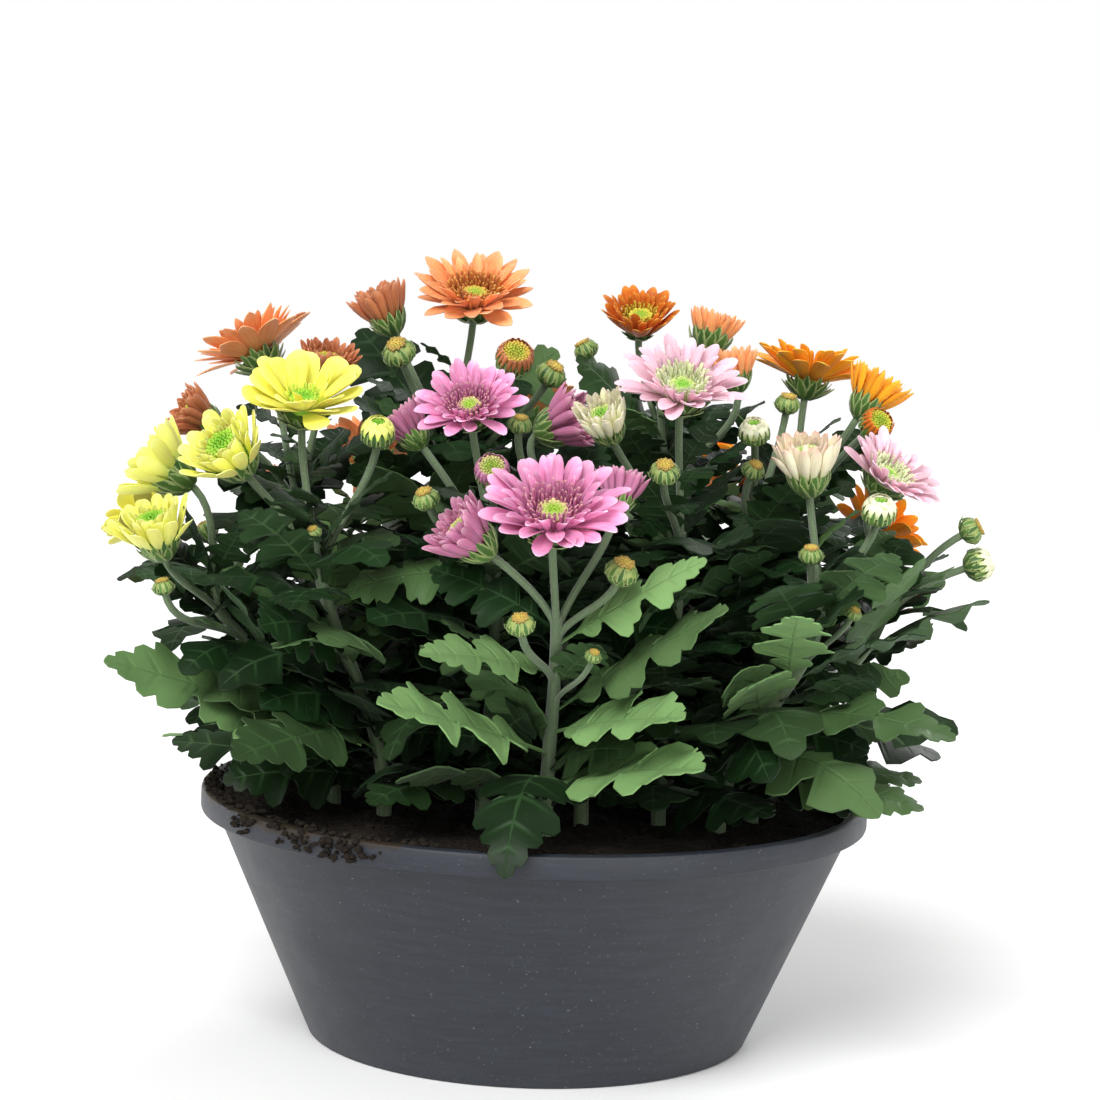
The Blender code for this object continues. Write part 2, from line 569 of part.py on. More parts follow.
def make_plants():
    bodies, obstacles = {}, []
    lines = {stem.name: stem_line(stem) for stem in STEMS}
    for stem in STEMS:
        line = lines[stem.name]
        bodies[stem.name] = [tube(line, STEM_FOOT_RADIUS, STEM_TOP_RADIUS)]
        for head in stem.heads:
            bodies[stem.name] += [tube(stalk_line(head, line), STALK_RADIUS, STALK_RADIUS), green_cup(head)]
            if head.kind not in BUD_TOPS:
                bodies[head.name] = petals(head)
    for name, group in bodies.items():
        obstacles += [(name, BVHTree.FromBMesh(body)) for body in group]
    plans = [(stem.name, leaf) for stem in STEMS for leaf in planned_leaves(stem, lines[stem.name])]
    for name, leaf in plans:
        made = clear_leaf(leaf, lines[name], name, obstacles)
        if made:
            bodies[name].append(made)
    for stem in STEMS:
        make_node(stem.name, bodies[stem.name], (0.06, 0.14, 0.035), 0.6)
        for head in stem.heads:
            if head.kind not in BUD_TOPS:
                make_node(head.name, bodies[head.name], PETAL_COLOURS[stem.colour], 0.6)
            if head.name in BLOOMS_WITH_EYES:
                make_node(head.name + "_eye", [eye(head)], (0.35, 0.5, 0.06), 0.8)


def main():
    for old in list(bpy.data.objects):
        bpy.data.objects.remove(old)
    make_pot()
    make_soil()
    make_plants()


if __name__ == "__main__":
    main()
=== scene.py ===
"""Pot chrysanthemum: the petals, leaves, buds, soil and pot of a bowl of young plants.

The model's frame gives every stem, head and leaf its place, and the same tables and rules find them
here. Tables and lengths are in millimetres, a head's parts are shares of its width, a leaf's or a
petal's are shares of its length, and angles are in degrees.
"""

import json
import math
import random
from collections import namedtuple

import bmesh
import bpy
from bpy.props import FloatProperty, FloatVectorProperty, IntProperty, PointerProperty
from mathutils import Matrix, Vector, geometry, noise
from mathutils.bvhtree import BVHTree

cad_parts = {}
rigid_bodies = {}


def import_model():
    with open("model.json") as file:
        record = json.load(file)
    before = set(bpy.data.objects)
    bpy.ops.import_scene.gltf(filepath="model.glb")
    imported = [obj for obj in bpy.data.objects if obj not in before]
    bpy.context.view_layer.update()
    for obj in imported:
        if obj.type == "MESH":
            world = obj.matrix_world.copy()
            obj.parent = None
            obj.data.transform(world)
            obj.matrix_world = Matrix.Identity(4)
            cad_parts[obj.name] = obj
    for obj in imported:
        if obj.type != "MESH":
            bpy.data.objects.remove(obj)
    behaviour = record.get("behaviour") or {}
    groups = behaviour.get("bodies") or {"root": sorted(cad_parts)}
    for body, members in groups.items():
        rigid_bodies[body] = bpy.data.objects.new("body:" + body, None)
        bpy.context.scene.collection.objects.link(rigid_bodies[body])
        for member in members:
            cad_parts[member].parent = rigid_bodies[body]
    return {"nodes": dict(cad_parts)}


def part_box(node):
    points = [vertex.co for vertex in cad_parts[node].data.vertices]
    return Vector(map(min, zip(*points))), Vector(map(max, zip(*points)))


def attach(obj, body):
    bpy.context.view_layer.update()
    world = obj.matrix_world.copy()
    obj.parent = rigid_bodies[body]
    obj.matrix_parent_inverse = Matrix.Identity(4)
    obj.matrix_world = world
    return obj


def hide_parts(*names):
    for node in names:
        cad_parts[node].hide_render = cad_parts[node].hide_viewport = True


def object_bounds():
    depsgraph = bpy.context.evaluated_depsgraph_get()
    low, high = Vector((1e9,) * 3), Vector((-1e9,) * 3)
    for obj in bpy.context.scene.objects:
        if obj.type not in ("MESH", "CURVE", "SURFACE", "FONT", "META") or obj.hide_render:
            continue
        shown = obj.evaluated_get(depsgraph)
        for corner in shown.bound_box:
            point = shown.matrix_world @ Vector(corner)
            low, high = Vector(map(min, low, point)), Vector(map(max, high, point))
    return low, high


bl_info = {
    "name": "Pot Chrysanthemum",
    "version": (1, 0, 0),
    "blender": (4, 5, 0),
    "location": "3D View > Sidebar > Chrysanthemum",
    "description": "Dresses a bowl of young chrysanthemums with petals, leaves, buds and soil",
    "category": "Add Mesh",
}

for leftover in list(bpy.data.objects):
    bpy.data.objects.remove(leftover)
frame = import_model()
cad_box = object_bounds()
pot_low, pot_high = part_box("pot")

MM = 0.001
SEED = 4

# The pot's rim and drainage holes, then the soil: its level, its bumps and grain with their widths,
# the heap at the left, and how deep the stems stand in it
RIM_RADIUS = 115
RIM_TOP = 85
DRAINS = 5
DRAIN_CIRCLE = 50
DRAIN_RADIUS = 4
DRAIN_DEPTH = 8
SOIL_RADIUS = 107.2
SOIL_RINGS = 30
SOIL_SIDES = 120
SOIL_CONE = 84
SOIL_LEVEL = 80
SOIL_BUMP = 1.6
SOIL_BUMP_WIDTH = 17
SOIL_GRAIN = 0.9
SOIL_GRAIN_WIDTH = 5
HEAP_AT = Vector((-98, -4))
HEAP_HEIGHT = 11
HEAP_SPREAD = 26
ROOT_DEPTH = 14
# Where soil has spilled down the rim, in degrees round the pot, its spread and the heights it reaches
SPILLS = (215, 229, 236, 241)
SPILL_SPREAD = 2.2
SPILL_HEIGHTS = (78, 86)
# How far out crumbs lie on the soil, and where they lie on top of the rim: round it, as a middle and a
# spread in degrees, its radii, and their height
STREWN_RADIUS = 106
RIM_CRUMBS = (205, 34)
RIM_CRUMB_RADII = (108, 113.6)
RIM_CRUMB_HEIGHT = 84.9

# Stems: their radii, how far they rise straight out of the soil, how far their ends run on before they
# bend, as shares of their length, and the few points in which the solids bend
STEM_FOOT_RADIUS = 2.5
STEM_TOP_RADIUS = 1.8
STEM_RISE = 4
STEM_BEND = (0.35, 0.3)
STEM_POINTS = 4
# Flower stalks: their radius, which is at most a share of the head's width and grows towards it, how
# deep they start in the stem, how far their ends run on, and how deep they end in the green cup
STALK_RADIUS = 1.15
STALK_SHARE = 0.14
STALK_FLARE = 1.1
STALK_ROOT = 1.5
STALK_BEND = 0.35
STALK_INTO_CUP = 0.6
# The ribbed tubes that stems and stalks are drawn with
TUBE_STEPS = 12
TUBE_SIDES = 10
RIBS = (0.97, 1.07)

# The rule that places the solids' leaves up a stem. Stems in the shade of others carry leaves only
# higher up, and the leaves of the rest turn to the light.
GOLDEN_ANGLE = 137.5
FIRST_LEAF = 8
FIRST_SHADED_LEAF = 42
SHADE_RADIUS = 47
LEAF_SPACING = 14
TURN_TO_LIGHT = 0.7
HEADING_SPREAD = 15
LOW_PITCH = 14
PITCH_GAIN = 40
PITCH_SPREAD = 8
DROOP_RANGE = (18, 44)
ROLL_SPREAD = 36
LOW_LEAF = 56
HIGH_LEAF = 45
# A leaf's thickness, and its outline in a few points, along and across
BLADE = 0.8
LEAF_OUTLINE = ((0.45, 0.27), (0.57, 0.11), (0.8, 0.22))
# What is tried where a planned leaf has no room: to tip it, to turn it, and to shorten it
TIPPED = (0, 12, -12, 24)
TURNED = (0, 14, -14, 28, -28)
SHORTENED = (1, 0.84, 0.68)
INNER_SHORTENED = (1, 0.75, 0.55)

# Inner leaves and the leaves on flower stalks: the range of their pitch and its gain up the stem, the
# range of their droop, their roll, their length and what it loses up the stem, and its range
LeafRule = namedtuple("LeafRule", "pitch gain droop roll length loss size")
INNER_LEAF = LeafRule((14, 40), 32, (36, 112), 46, 60, 16, (0.75, 1.15))
STALK_LEAF = LeafRule((25, 55), 0, (20, 70), 30, 34, 24, (0.8, 1.15))
FIRST_INNER_LEAF = 4
INNER_TURN = 60
INNER_HEADING_SPREAD = 20
# Low on a stem three inner leaves stand round it, and higher up one
WHORL = (0, 100, -110)
WHORLS_UP_TO = 0.4
STALK_LEAF_SPACING = 9
STALK_LEAVES_FROM = 0.08
STALK_LEAVES_OVER = 0.5
# How far inner leaves stay from the rim, from the soil and over its crumbs, and the lowest place that
# they reach
CLEAR_OF_RIM = 2.5
CLEAR_OF_SOIL = 2
CRUMB_HEIGHT = 1
LOWEST_LEAF = 82
# How much of an inner leaf's foot may stand in its stem: at most a length, and a share of the leaf
LEAF_FOOT = 8
LEAF_FOOT_SHARE = 0.2
# A leaf's share of young, pale colour is a random number to this power, so that few are pale
YOUNG_POWER = 10

# How blades vary: the fold along the midrib, the curl of the lobes, the wave of the margin, the twist
# and the width
FOLD_RANGE = (0.05, 0.4)
CURL_RANGE = (0.3, 1.8)
WAVE_RANGE = (0.01, 0.028)
TWIST_SPREAD = 28
WIDTH_RANGE = (0.9, 1.08)
WAVES = 4
SLIM_LEAF = 0.8
# How far out from the midrib, as a share of the length, the fold rounds off and the wave grows
ROUNDED = 0.2
# How petals vary round a ring: their place as a share of a step, pitch, droop, length and roll
PETAL_STEP_SPREAD = 0.22
PETAL_PITCH_SPREAD = 8
PETAL_DROOP_SPREAD = 14
PETAL_LENGTH_RANGE = (-0.14, 0.04)
PETAL_ROLL_SPREAD = 20

Head = namedtuple("Head", "name kind at face width branch")
Stem = namedtuple("Stem", "name colour root crown heads")
Leaf = namedtuple("Leaf", "up heading pitch droop roll length")
AimedLeaf = namedtuple("AimedLeaf", "up tip droop roll")

# kind is open, half (a cup of petals), ring (a bud whose petals just show) or bud (closed and green).
# at is the middle of the head, face the way it looks, width its diameter, and branch how far up the
# stem its stalk leaves, from 0 at the soil to 1 at the crown.
STEMS = (
    Stem("pink_stem_front", "pink", (4, -58), (5, -90, 156), (
        Head("pink_bloom_front", "open", (3, -105, 188), (0, -0.55, 0.84), 50, 1),
        Head("pink_bud_low", "half", (-25, -93, 182), (-0.75, -0.3, 0.6), 21, 0.97),
        Head("pink_bud_behind", "half", (24, -76, 197), (0.15, 0.15, 1), 16, 0.93),
        Head("green_bud_right", "bud", (25, -100, 173), (0.25, -0.4, 0.9), 12, 0.9),
        Head("green_bud_low", "bud", (-6, -107, 156), (-0.1, -0.5, 0.85), 10, 0.66),
    )),
    Stem("pink_stem_left", "pink", (-17, -46), (-16, -56, 172), (
        Head("pink_bloom_back", "open", (-25, -60, 218), (-0.1, -0.62, 0.78), 38, 1),
        Head("pink_ring", "ring", (-17, -74, 200), (-0.05, -0.75, 0.65), 14, 0.94),
        Head("pink_bud_left", "half", (-47, -36, 212), (-0.6, 0.05, 0.75), 17, 0.9),
        Head("green_bud_left", "bud", (-38, -72, 191), (-0.3, -0.4, 0.85), 10, 0.84),
    )),
    Stem("pink_stem_right", "pink", (16, -40), (4, -34, 180), (
        Head("pink_bud_right", "half", (7, -28, 214), (0.8, -0.25, 0.35), 21, 1),
        Head("green_bud_right", "bud", (-9, -42, 214), (0.1, -0.3, 0.9), 9, 0.93),
    )),
    Stem("pale_stem_middle", "pale", (42, -34), (45, -46, 180), (
        Head("pale_bloom_middle", "open", (43, -56, 226), (0.02, -0.55, 0.84), 44, 1),
        Head("pale_bud_left", "half", (18, -55, 217), (-0.35, -0.5, 0.75), 18, 0.9),
        Head("green_bud", "bud", (38, -68, 202), (0, -0.6, 0.8), 11, 0.95),
    )),
    Stem("pale_stem_front", "pale", (62, -40), (91, -54, 160), (
        Head("pale_cup", "half", (85, -51, 206), (-0.12, -0.25, 0.95), 22, 1),
        Head("pale_ring_front", "ring", (108, -61, 191), (0.05, -0.45, 0.88), 14, 0.94),
        Head("green_bud", "bud", (86, -68, 177), (-0.05, -0.3, 0.95), 9, 0.8),
    )),
    Stem("pale_stem_right", "pale", (74, -22), (116, -20, 156), (
        Head("pale_bloom_right", "open", (112, -37, 199), (0.48, -0.42, 0.77), 38, 1),
        Head("pale_ring_far", "ring", (148, -15, 170), (0.93, -0.05, 0.35), 14, 0.92),
        Head("green_bud", "bud", (145, -18, 182), (0.85, -0.15, 0.5), 11, 0.86),
    )),
    Stem("pale_stem_back", "pale", (55, -12), (70, -16, 176), (
        Head("pale_ring_back", "ring", (69, -27, 213), (-0.1, -0.5, 0.85), 13, 1),
        Head("green_bud_low", "bud", (69, -34, 201), (0.3, -0.5, 0.8), 9, 0.93),
        Head("green_bud_high", "bud", (82, 0, 222), (0.1, -0.3, 0.95), 10, 0.96),
    )),
    Stem("bronze_stem_top", "bronze", (30, 24), (42, 28, 200), (
        Head("bronze_bloom_top", "open", (31, 30, 245), (0.02, -0.5, 0.86), 29, 1),
        Head("bronze_bud_pale", "half", (57, 30, 246), (0.25, 0.05, 0.95), 18, 0.95),
        Head("bronze_bud_hidden", "half", (63, 4, 234), (-0.2, 0.05, 0.97), 17, 0.88),
        Head("green_bud_left", "bud", (12, 32, 237), (-0.5, -0.1, 0.85), 10, 0.9),
        Head("green_bud_low", "bud", (38, 8, 233), (0, -0.6, 0.8), 12, 0.84),
    )),
    Stem("bronze_stem_right", "bronze", (62, 18), (88, 26, 184), (
        Head("bronze_bloom_right", "open", (91, 28, 229), (0.15, 0.12, 0.95), 43, 1),
        Head("bronze_bud_right", "half", (112, 3, 227), (0.5, 0.1, 0.85), 20, 0.94),
        Head("bronze_ring", "ring", (111, -14, 216), (0.4, -0.75, 0.5), 14, 0.9),
    )),
    Stem("bronze_stem_far", "bronze", (82, 36), (106, 40, 146), (
        Head("bronze_bloom_far", "open", (120, 56, 172), (0.68, 0.5, 0.54), 40, 1),
        Head("bronze_bud_low", "half", (122, 8, 199), (0.35, -0.1, 0.93), 18, 0.96),
        Head("green_bud", "bud", (96, 72, 172), (0.1, 0.7, 0.7), 10, 0.9),
    )),
    Stem("bronze_stem_back", "bronze", (36, 60), (50, 82, 160), (
        Head("bronze_bloom_back", "open", (50, 104, 192), (0.25, 0.66, 0.7), 46, 1),
        Head("bronze_bud_back", "half", (80, 90, 180), (0.5, 0.6, 0.65), 21, 0.92),
        Head("green_bud", "bud", (18, 100, 188), (-0.1, 0.6, 0.8), 12, 0.9),
    )),
    Stem("peach_stem_top", "peach", (-30, 18), (-33, 14, 204), (
        Head("peach_bloom_top", "open", (-27, 20, 252), (0.05, -0.5, 0.86), 46, 1),
        Head("peach_ring", "ring", (-12, -8, 234), (0.15, -0.75, 0.65), 16, 0.93),
        Head("peach_bud_high", "half", (-59, 16, 250), (-0.4, -0.1, 0.9), 20, 0.9),
        Head("green_bud_left", "bud", (-52, -2, 235), (-0.25, -0.6, 0.75), 13, 0.87),
        Head("green_bud_right", "bud", (1, 6, 229), (0.4, -0.4, 0.85), 12, 0.84),
    )),
    Stem("peach_stem_left", "peach", (-64, 20), (-88, 20, 184), (
        Head("peach_bloom_left", "open", (-103, 26, 231), (-0.5, 0.24, 0.83), 46, 1),
        Head("peach_bud_left", "half", (-121, -6, 211), (-0.85, -0.3, 0.45), 18, 0.93),
        Head("peach_bud_right", "half", (-77, 12, 229), (0.15, -0.35, 0.93), 19, 0.9),
    )),
    Stem("peach_stem_back", "peach", (-44, 52), (-62, 76, 158), (
        Head("peach_bloom_back", "open", (-66, 96, 190), (-0.35, 0.66, 0.68), 46, 1),
        Head("peach_bud_back", "half", (-100, 74, 178), (-0.7, 0.45, 0.6), 20, 0.92),
        Head("green_bud", "bud", (-86, 102, 164), (-0.4, 0.8, 0.5), 11, 0.8),
    )),
    Stem("peach_stem_middle", "peach", (-8, 54), (-8, 68, 178), (
        Head("peach_bloom_middle", "open", (-10, 88, 210), (-0.05, 0.6, 0.8), 44, 1),
        Head("green_bud", "bud", (-32, 104, 186), (-0.2, 0.7, 0.75), 12, 0.92),
    )),
    Stem("yellow_stem_front", "yellow", (-50, -36), (-74, -52, 170), (
        Head("yellow_bloom_front", "open", (-80, -46, 217), (0.08, -0.5, 0.86), 46, 1),
        Head("yellow_bud_front", "half", (-104, -56, 203), (-0.45, -0.6, 0.65), 24, 0.95),
        Head("yellow_ring", "ring", (-55, -52, 210), (0.05, -0.45, 0.88), 14, 0.9),
    )),
    Stem("yellow_stem_left", "yellow", (-68, -22), (-108, -34, 148), (
        Head("yellow_bud_low", "half", (-127, -54, 177), (-0.25, -0.35, 0.9), 22, 1),
        Head("yellow_bud_side", "half", (-130, -30, 196), (-0.85, 0, 0.52), 25, 0.96),
        Head("green_bud", "bud", (-123, -58, 158), (-0.2, -0.2, 0.95), 8, 0.8),
    )),
    Stem("yellow_stem_back", "yellow", (-74, 2), (-116, 14, 146), (
        Head("yellow_bloom_back", "open", (-138, 22, 172), (-0.82, 0.2, 0.54), 40, 1),
        Head("green_bud", "bud", (-122, 46, 166), (-0.6, 0.5, 0.65), 10, 0.88),
    )),
)

# The leaves that show best, by stem
AIMED_LEAVES = {
    "pink_stem_front": (
        AimedLeaf(0.7, (-34, -112, 144), 20, -52),
        AimedLeaf(0.85, (43, -117, 176), 10, 42),
        AimedLeaf(0.5, (56, -112, 162), 8, 34),
        AimedLeaf(0.3, (-47, -118, 130), 8, -48),
        AimedLeaf(0.4, (42, -122, 129), 12, 52),
        AimedLeaf(0.15, (48, -125, 114), 14, 40),
        AimedLeaf(0.08, (-4, -126, 92), 70, 0),
    ),
    "pale_stem_front": (
        AimedLeaf(0.6, (80, -100, 160), 20, 0),
        AimedLeaf(0.25, (126, -66, 94), 6, 20),
        AimedLeaf(0.45, (130, -88, 120), 30, 16),
    ),
    "pale_stem_right": (AimedLeaf(0.6, (146, -52, 164), 10, 26),),
    "yellow_stem_front": (AimedLeaf(0.3, (-90, -102, 108), 16, -30),),
    "yellow_stem_left": (
        AimedLeaf(0.3, (-128, -76, 130), 14, -40),
        AimedLeaf(0.6, (-144, -54, 160), 4, -60),
    ),
}
# Heads that have colours of their own
PAINTED_AS = {
    "bronze_bud_pale": ("peach", "open"), "bronze_bud_hidden": ("peach", "open"),
    "bronze_bud_right": ("gold", "open"), "bronze_bloom_right": ("gold", "open"),
    "pale_cup": ("blush", "open"),
}
# Small closed buds on short stalks
SMALL_BUDS = {
    "pink_stem_front": (Head("small_bud", "bud", (17, -101, 146), (0.2, -0.5, 0.8), 6, 0.55),),
    "pale_stem_front": (Head("small_bud", "bud", (101, -66, 158), (0.3, -0.5, 0.8), 6, 0.7),),
    "yellow_stem_front": (Head("small_bud", "bud", (-74, -66, 178), (-0.2, -0.5, 0.8), 6, 0.9),),
}
# Heads whose green cup reaches further up
LONG_CUPS = {"bronze_bud_pale": 1.5}
# Leaves with another place than in their solid: one bends further down over the rim, and one is turned
# aside from the forked stalks. The key is the stem and which of its planned leaves it is.
MOVED_LEAVES = {
    ("pink_stem_front", 6): AimedLeaf(0.08, (-8, -121.5, 79), 120, 0),
    ("pink_stem_front", 12): AimedLeaf(0.93, (-38, -85, 165), 34, -44),
}
# How pale the leaves with a chosen place are, as a share of young leaf colour that is set leaf by
# leaf as painted light on the leaves at the front and lowered as painted shade on low ones, how steeply
# they fold along the midrib, and the share of their roll that is left then
CHOSEN_LOOKS = {
    "pink_stem_front": (
        (1, 0.72, 0.6), (0.95, 0.12, 1), (0.6, 0.3, 1), (0.9, 0.8, 0.6), (0.85, 0.72, 0.6),
        (0.85, 0.62, 0.6), (0.01, 0.1, 1),
    ),
    "pale_stem_front": ((0.85, 0.2, 1), (0.5, 0.3, 1), (0.3, 0.3, 1)),
    "pale_stem_right": ((0.45, 0.3, 1),),
    "yellow_stem_front": ((0.15, 0.3, 1),),
    "yellow_stem_left": ((0.5, 0.3, 1), (0.35, 0.3, 1)),
}
# More leaves with a chosen place, that fill the plants between the others
MORE_LEAVES = {
    "peach_stem_top": (
        AimedLeaf(0.95, (-78, 38, 236), 26, -56), AimedLeaf(0.98, (2, 24, 240), 24, 60),
        AimedLeaf(0.8, (-8, -10, 218), 40, 40), AimedLeaf(0.85, (-62, -12, 214), 40, -50),
    ),
    "bronze_stem_top": (
        AimedLeaf(0.97, (9, 14, 231), 30, -56), AimedLeaf(0.8, (62, 6, 212), 40, 50),
        AimedLeaf(0.85, (10, 6, 216), 40, -56), AimedLeaf(0.72, (4, 0, 202), 44, -56),
    ),
    "bronze_stem_right": (
        AimedLeaf(0.97, (118, 18, 208), 30, 50), AimedLeaf(0.85, (70, 4, 208), 30, -50),
        AimedLeaf(0.9, (92, -8, 200), 40, 60),
    ),
    "pink_stem_right": (
        AimedLeaf(0.9, (28, -24, 206), 44, 54), AimedLeaf(0.8, (-20, -26, 198), 44, -54),
    ),
    "pink_stem_left": (
        AimedLeaf(0.9, (-52, -88, 154), 46, -30), AimedLeaf(0.5, (-52, -92, 132), 50, -30),
        AimedLeaf(0.98, (-44, -72, 176), 40, -36),
    ),
    "pale_stem_middle": (
        AimedLeaf(0.85, (46, -94, 170), 60, 0), AimedLeaf(0.7, (22, -84, 160), 40, 30),
    ),
    "pale_stem_front": (AimedLeaf(0.8, (62, -94, 156), 40, 36),),
    "pale_stem_back": (AimedLeaf(0.95, (84, -46, 190), 40, -20),),
    "yellow_stem_front": (
        AimedLeaf(0.97, (-44, -66, 196), 30, 44), AimedLeaf(0.8, (-78, -94, 156), 50, 0),
        AimedLeaf(0.6, (-100, -84, 148), 44, -30),
    ),
    "yellow_stem_left": (AimedLeaf(0.95, (-118, -56, 182), 20, -50),),
    "peach_stem_left": (
        AimedLeaf(0.97, (-74, -8, 204), 40, 40), AimedLeaf(0.9, (-116, 0, 190), 30, -30),
    ),
}
# How far up its stem a plant with bare, forked stalks has inner leaves, as a share of the stem
LEAFY_UP_TO = {"pink_stem_front": 0.35}

# How far the middle of a head stands above its seat, and its green cup's radius and depth
SEAT = {"open": 0.04, "half": 0.3, "ring": 0.05, "bud": 0.05}
CUP_RADIUS = {"open": 0.17, "half": 0.3, "ring": 0.42, "bud": 0.45}
CUP_DEPTH = {"open": 0.14, "half": 0.3, "ring": 0.36, "bud": 0.42}
# The body under a cup's scales and in a closed bud: shares of that radius and depth, and how far it
# rises over the seat
CUP_BODY = (0.88, 0.92, 0.02)
BUD_BODY = (0.93, 0.85, 0.26)
# An open head under this width is still young
YOUNG_WIDTH = 32
# The petals of open and of half-open heads that aren't round at the tip, and the colours whose buds
# show a narrow ring only
OPEN_PETALS = {"peach": "pointed_petal", "yellow": "broad_petal"}
HALF_PETALS = {"bronze": "pointed_petal", "yellow": "broad_petal"}
NARROW_RINGS = ("pale", "yellow")

# A leaf's half outline from its stalk to its tip, along and across: a small low lobe, a large middle
# lobe with two blunt teeth, and an end lobe with three on each side
LEAF_MARGIN = (
    (0, 0.014), (0.15, 0.015), (0.185, 0.045), (0.215, 0.1), (0.25, 0.14), (0.285, 0.15),
    (0.315, 0.125), (0.32, 0.066), (0.345, 0.073), (0.38, 0.17), (0.42, 0.255), (0.46, 0.285),
    (0.5, 0.27), (0.51, 0.22), (0.555, 0.228), (0.58, 0.195), (0.575, 0.13), (0.585, 0.075),
    (0.62, 0.082), (0.65, 0.16), (0.69, 0.228), (0.74, 0.242), (0.775, 0.215), (0.78, 0.15),
    (0.83, 0.172), (0.865, 0.15), (0.87, 0.1), (0.915, 0.112), (0.95, 0.085), (0.95, 0.05),
    (0.985, 0.045), (1, 0.015), (1.003, 0.003),
)
# How far towards the tip the side veins lean, and where they leave the midrib, as shares of the way
# through the margin, with half a vein's width
VEIN_LEAN = 0.45
VEIN_WIDTH = 0.014
SIDE_VEINS = (0.155, 0.345, 0.44, 0.64, 0.755, 0.85)
# Half-widths from root to tip of three kinds of petal, of a quill and of a green scale
PETALS = {
    "round_petal": (
        (0, 0.03), (0.22, 0.065), (0.46, 0.11), (0.68, 0.128), (0.85, 0.112), (0.95, 0.07), (1, 0.022),
    ),
    "pointed_petal": (
        (0, 0.03), (0.22, 0.065), (0.44, 0.105), (0.64, 0.118), (0.82, 0.092), (0.94, 0.048), (1, 0.01),
    ),
    "broad_petal": (
        (0, 0.03), (0.22, 0.06), (0.48, 0.105), (0.72, 0.128), (0.88, 0.115), (0.965, 0.08), (1, 0.035),
    ),
}
QUILL = ((0, 0.05), (0.5, 0.06), (0.8, 0.085), (0.94, 0.07), (1, 0.03))
SCALE = ((0, 0.17), (0.3, 0.2), (0.6, 0.18), (0.85, 0.11), (1, 0.02))

# A ring of petals: how many, its radius and height, and a petal's length, pitch, droop, width and
# how far its sides curl up
Row = namedtuple("Row", "count radius height length pitch droop width curl")
QUILLS = (
    Row(27, 0.15, 0.055, 0.165, 60, -14, 1, 3), Row(25, 0.14, 0.06, 0.15, 66, -18, 1, 3),
    Row(23, 0.125, 0.065, 0.13, 71, -20, 1, 3), Row(20, 0.105, 0.07, 0.105, 76, -22, 1, 3),
    Row(17, 0.09, 0.075, 0.085, 80, -24, 1, 3),
)
OPEN_ROWS = {
    "pink": (
        Row(13, 0.07, 0.02, 0.45, 20, 0, 1.2, 0.9), Row(14, 0.09, 0.03, 0.42, 31, 0, 1.1, 1.1),
        Row(16, 0.12, 0.04, 0.33, 42, -6, 0.9, 1.5), Row(20, 0.155, 0.05, 0.22, 53, -12, 0.78, 2),
        *QUILLS,
    ),
    "pale": (
        Row(13, 0.07, 0.02, 0.45, 20, -2, 1.15, 0.9), Row(13, 0.09, 0.03, 0.42, 31, -2, 1.1, 1.1),
        Row(16, 0.12, 0.04, 0.32, 42, -6, 0.9, 1.5), Row(20, 0.155, 0.05, 0.2, 54, -12, 0.78, 2),
        *QUILLS,
    ),
    "bronze": (
        Row(13, 0.07, 0.02, 0.45, 18, 2, 1.25, 0.9), Row(14, 0.09, 0.03, 0.43, 31, 0, 1.15, 1.1),
        Row(15, 0.12, 0.04, 0.35, 43, -4, 1.05, 1.4), Row(17, 0.15, 0.05, 0.25, 54, -8, 0.9, 2),
        *QUILLS,
    ),
    "peach": (
        Row(12, 0.07, 0.02, 0.45, 18, 4, 1.5, 0.8), Row(12, 0.09, 0.03, 0.42, 30, 2, 1.4, 1),
        Row(14, 0.12, 0.04, 0.34, 41, -4, 1.15, 1.4), Row(18, 0.155, 0.05, 0.22, 53, -12, 0.9, 2),
        *QUILLS,
    ),
    "yellow": (
        Row(9, 0.05, 0.02, 0.46, 21, 0, 1.65, 0.7), Row(9, 0.05, 0.03, 0.45, 32, -2, 1.55, 0.9),
        Row(8, 0.06, 0.04, 0.39, 43, -6, 1.4, 1.1), Row(5, 0.08, 0.05, 0.25, 54, -10, 1.3, 1.4),
        Row(17, 0.085, 0.06, 0.12, 62, -14, 1.1, 3), Row(15, 0.07, 0.07, 0.09, 70, -18, 1.1, 3),
    ),
}
# How many of an open head's rings are petals. Those after them are quills.
PETAL_RINGS = 4
HALF_ROWS = (
    Row(15, 0.22, -0.02, 0.72, 46, -32, 1, 1.2), Row(16, 0.2, 0, 0.68, 54, -36, 0.95, 1.4),
    Row(16, 0.2, 0.04, 0.58, 61, -38, 0.85, 1.6), Row(17, 0.21, 0.13, 0.42, 67, -34, 0.8, 2),
    Row(18, 0.22, 0.24, 0.26, 72, -30, 0.85, 2.4),
)
YELLOW_HALF_ROWS = (
    Row(13, 0.22, -0.02, 0.7, 38, -26, 1.3, 1), Row(14, 0.2, 0, 0.64, 48, -32, 1.2, 1.2),
    Row(14, 0.2, 0.04, 0.54, 58, -36, 1.05, 1.5), Row(16, 0.21, 0.13, 0.38, 65, -34, 0.9, 2),
    Row(18, 0.22, 0.24, 0.24, 71, -30, 0.85, 2.4),
)
YOUNG_ROWS = (
    Row(15, 0.13, -0.02, 0.5, 32, -24, 1.15, 1.1), Row(15, 0.14, 0, 0.45, 42, -26, 1.05, 1.3),
    Row(17, 0.17, 0.03, 0.34, 52, -26, 0.95, 1.6), Row(20, 0.2, 0.07, 0.22, 60, -22, 0.9, 2),
    Row(26, 0.21, 0.11, 0.15, 62, -16, 1.2, 3), Row(24, 0.18, 0.13, 0.14, 68, -18, 1.2, 3),
    Row(20, 0.15, 0.15, 0.12, 74, -20, 1.2, 3),
)
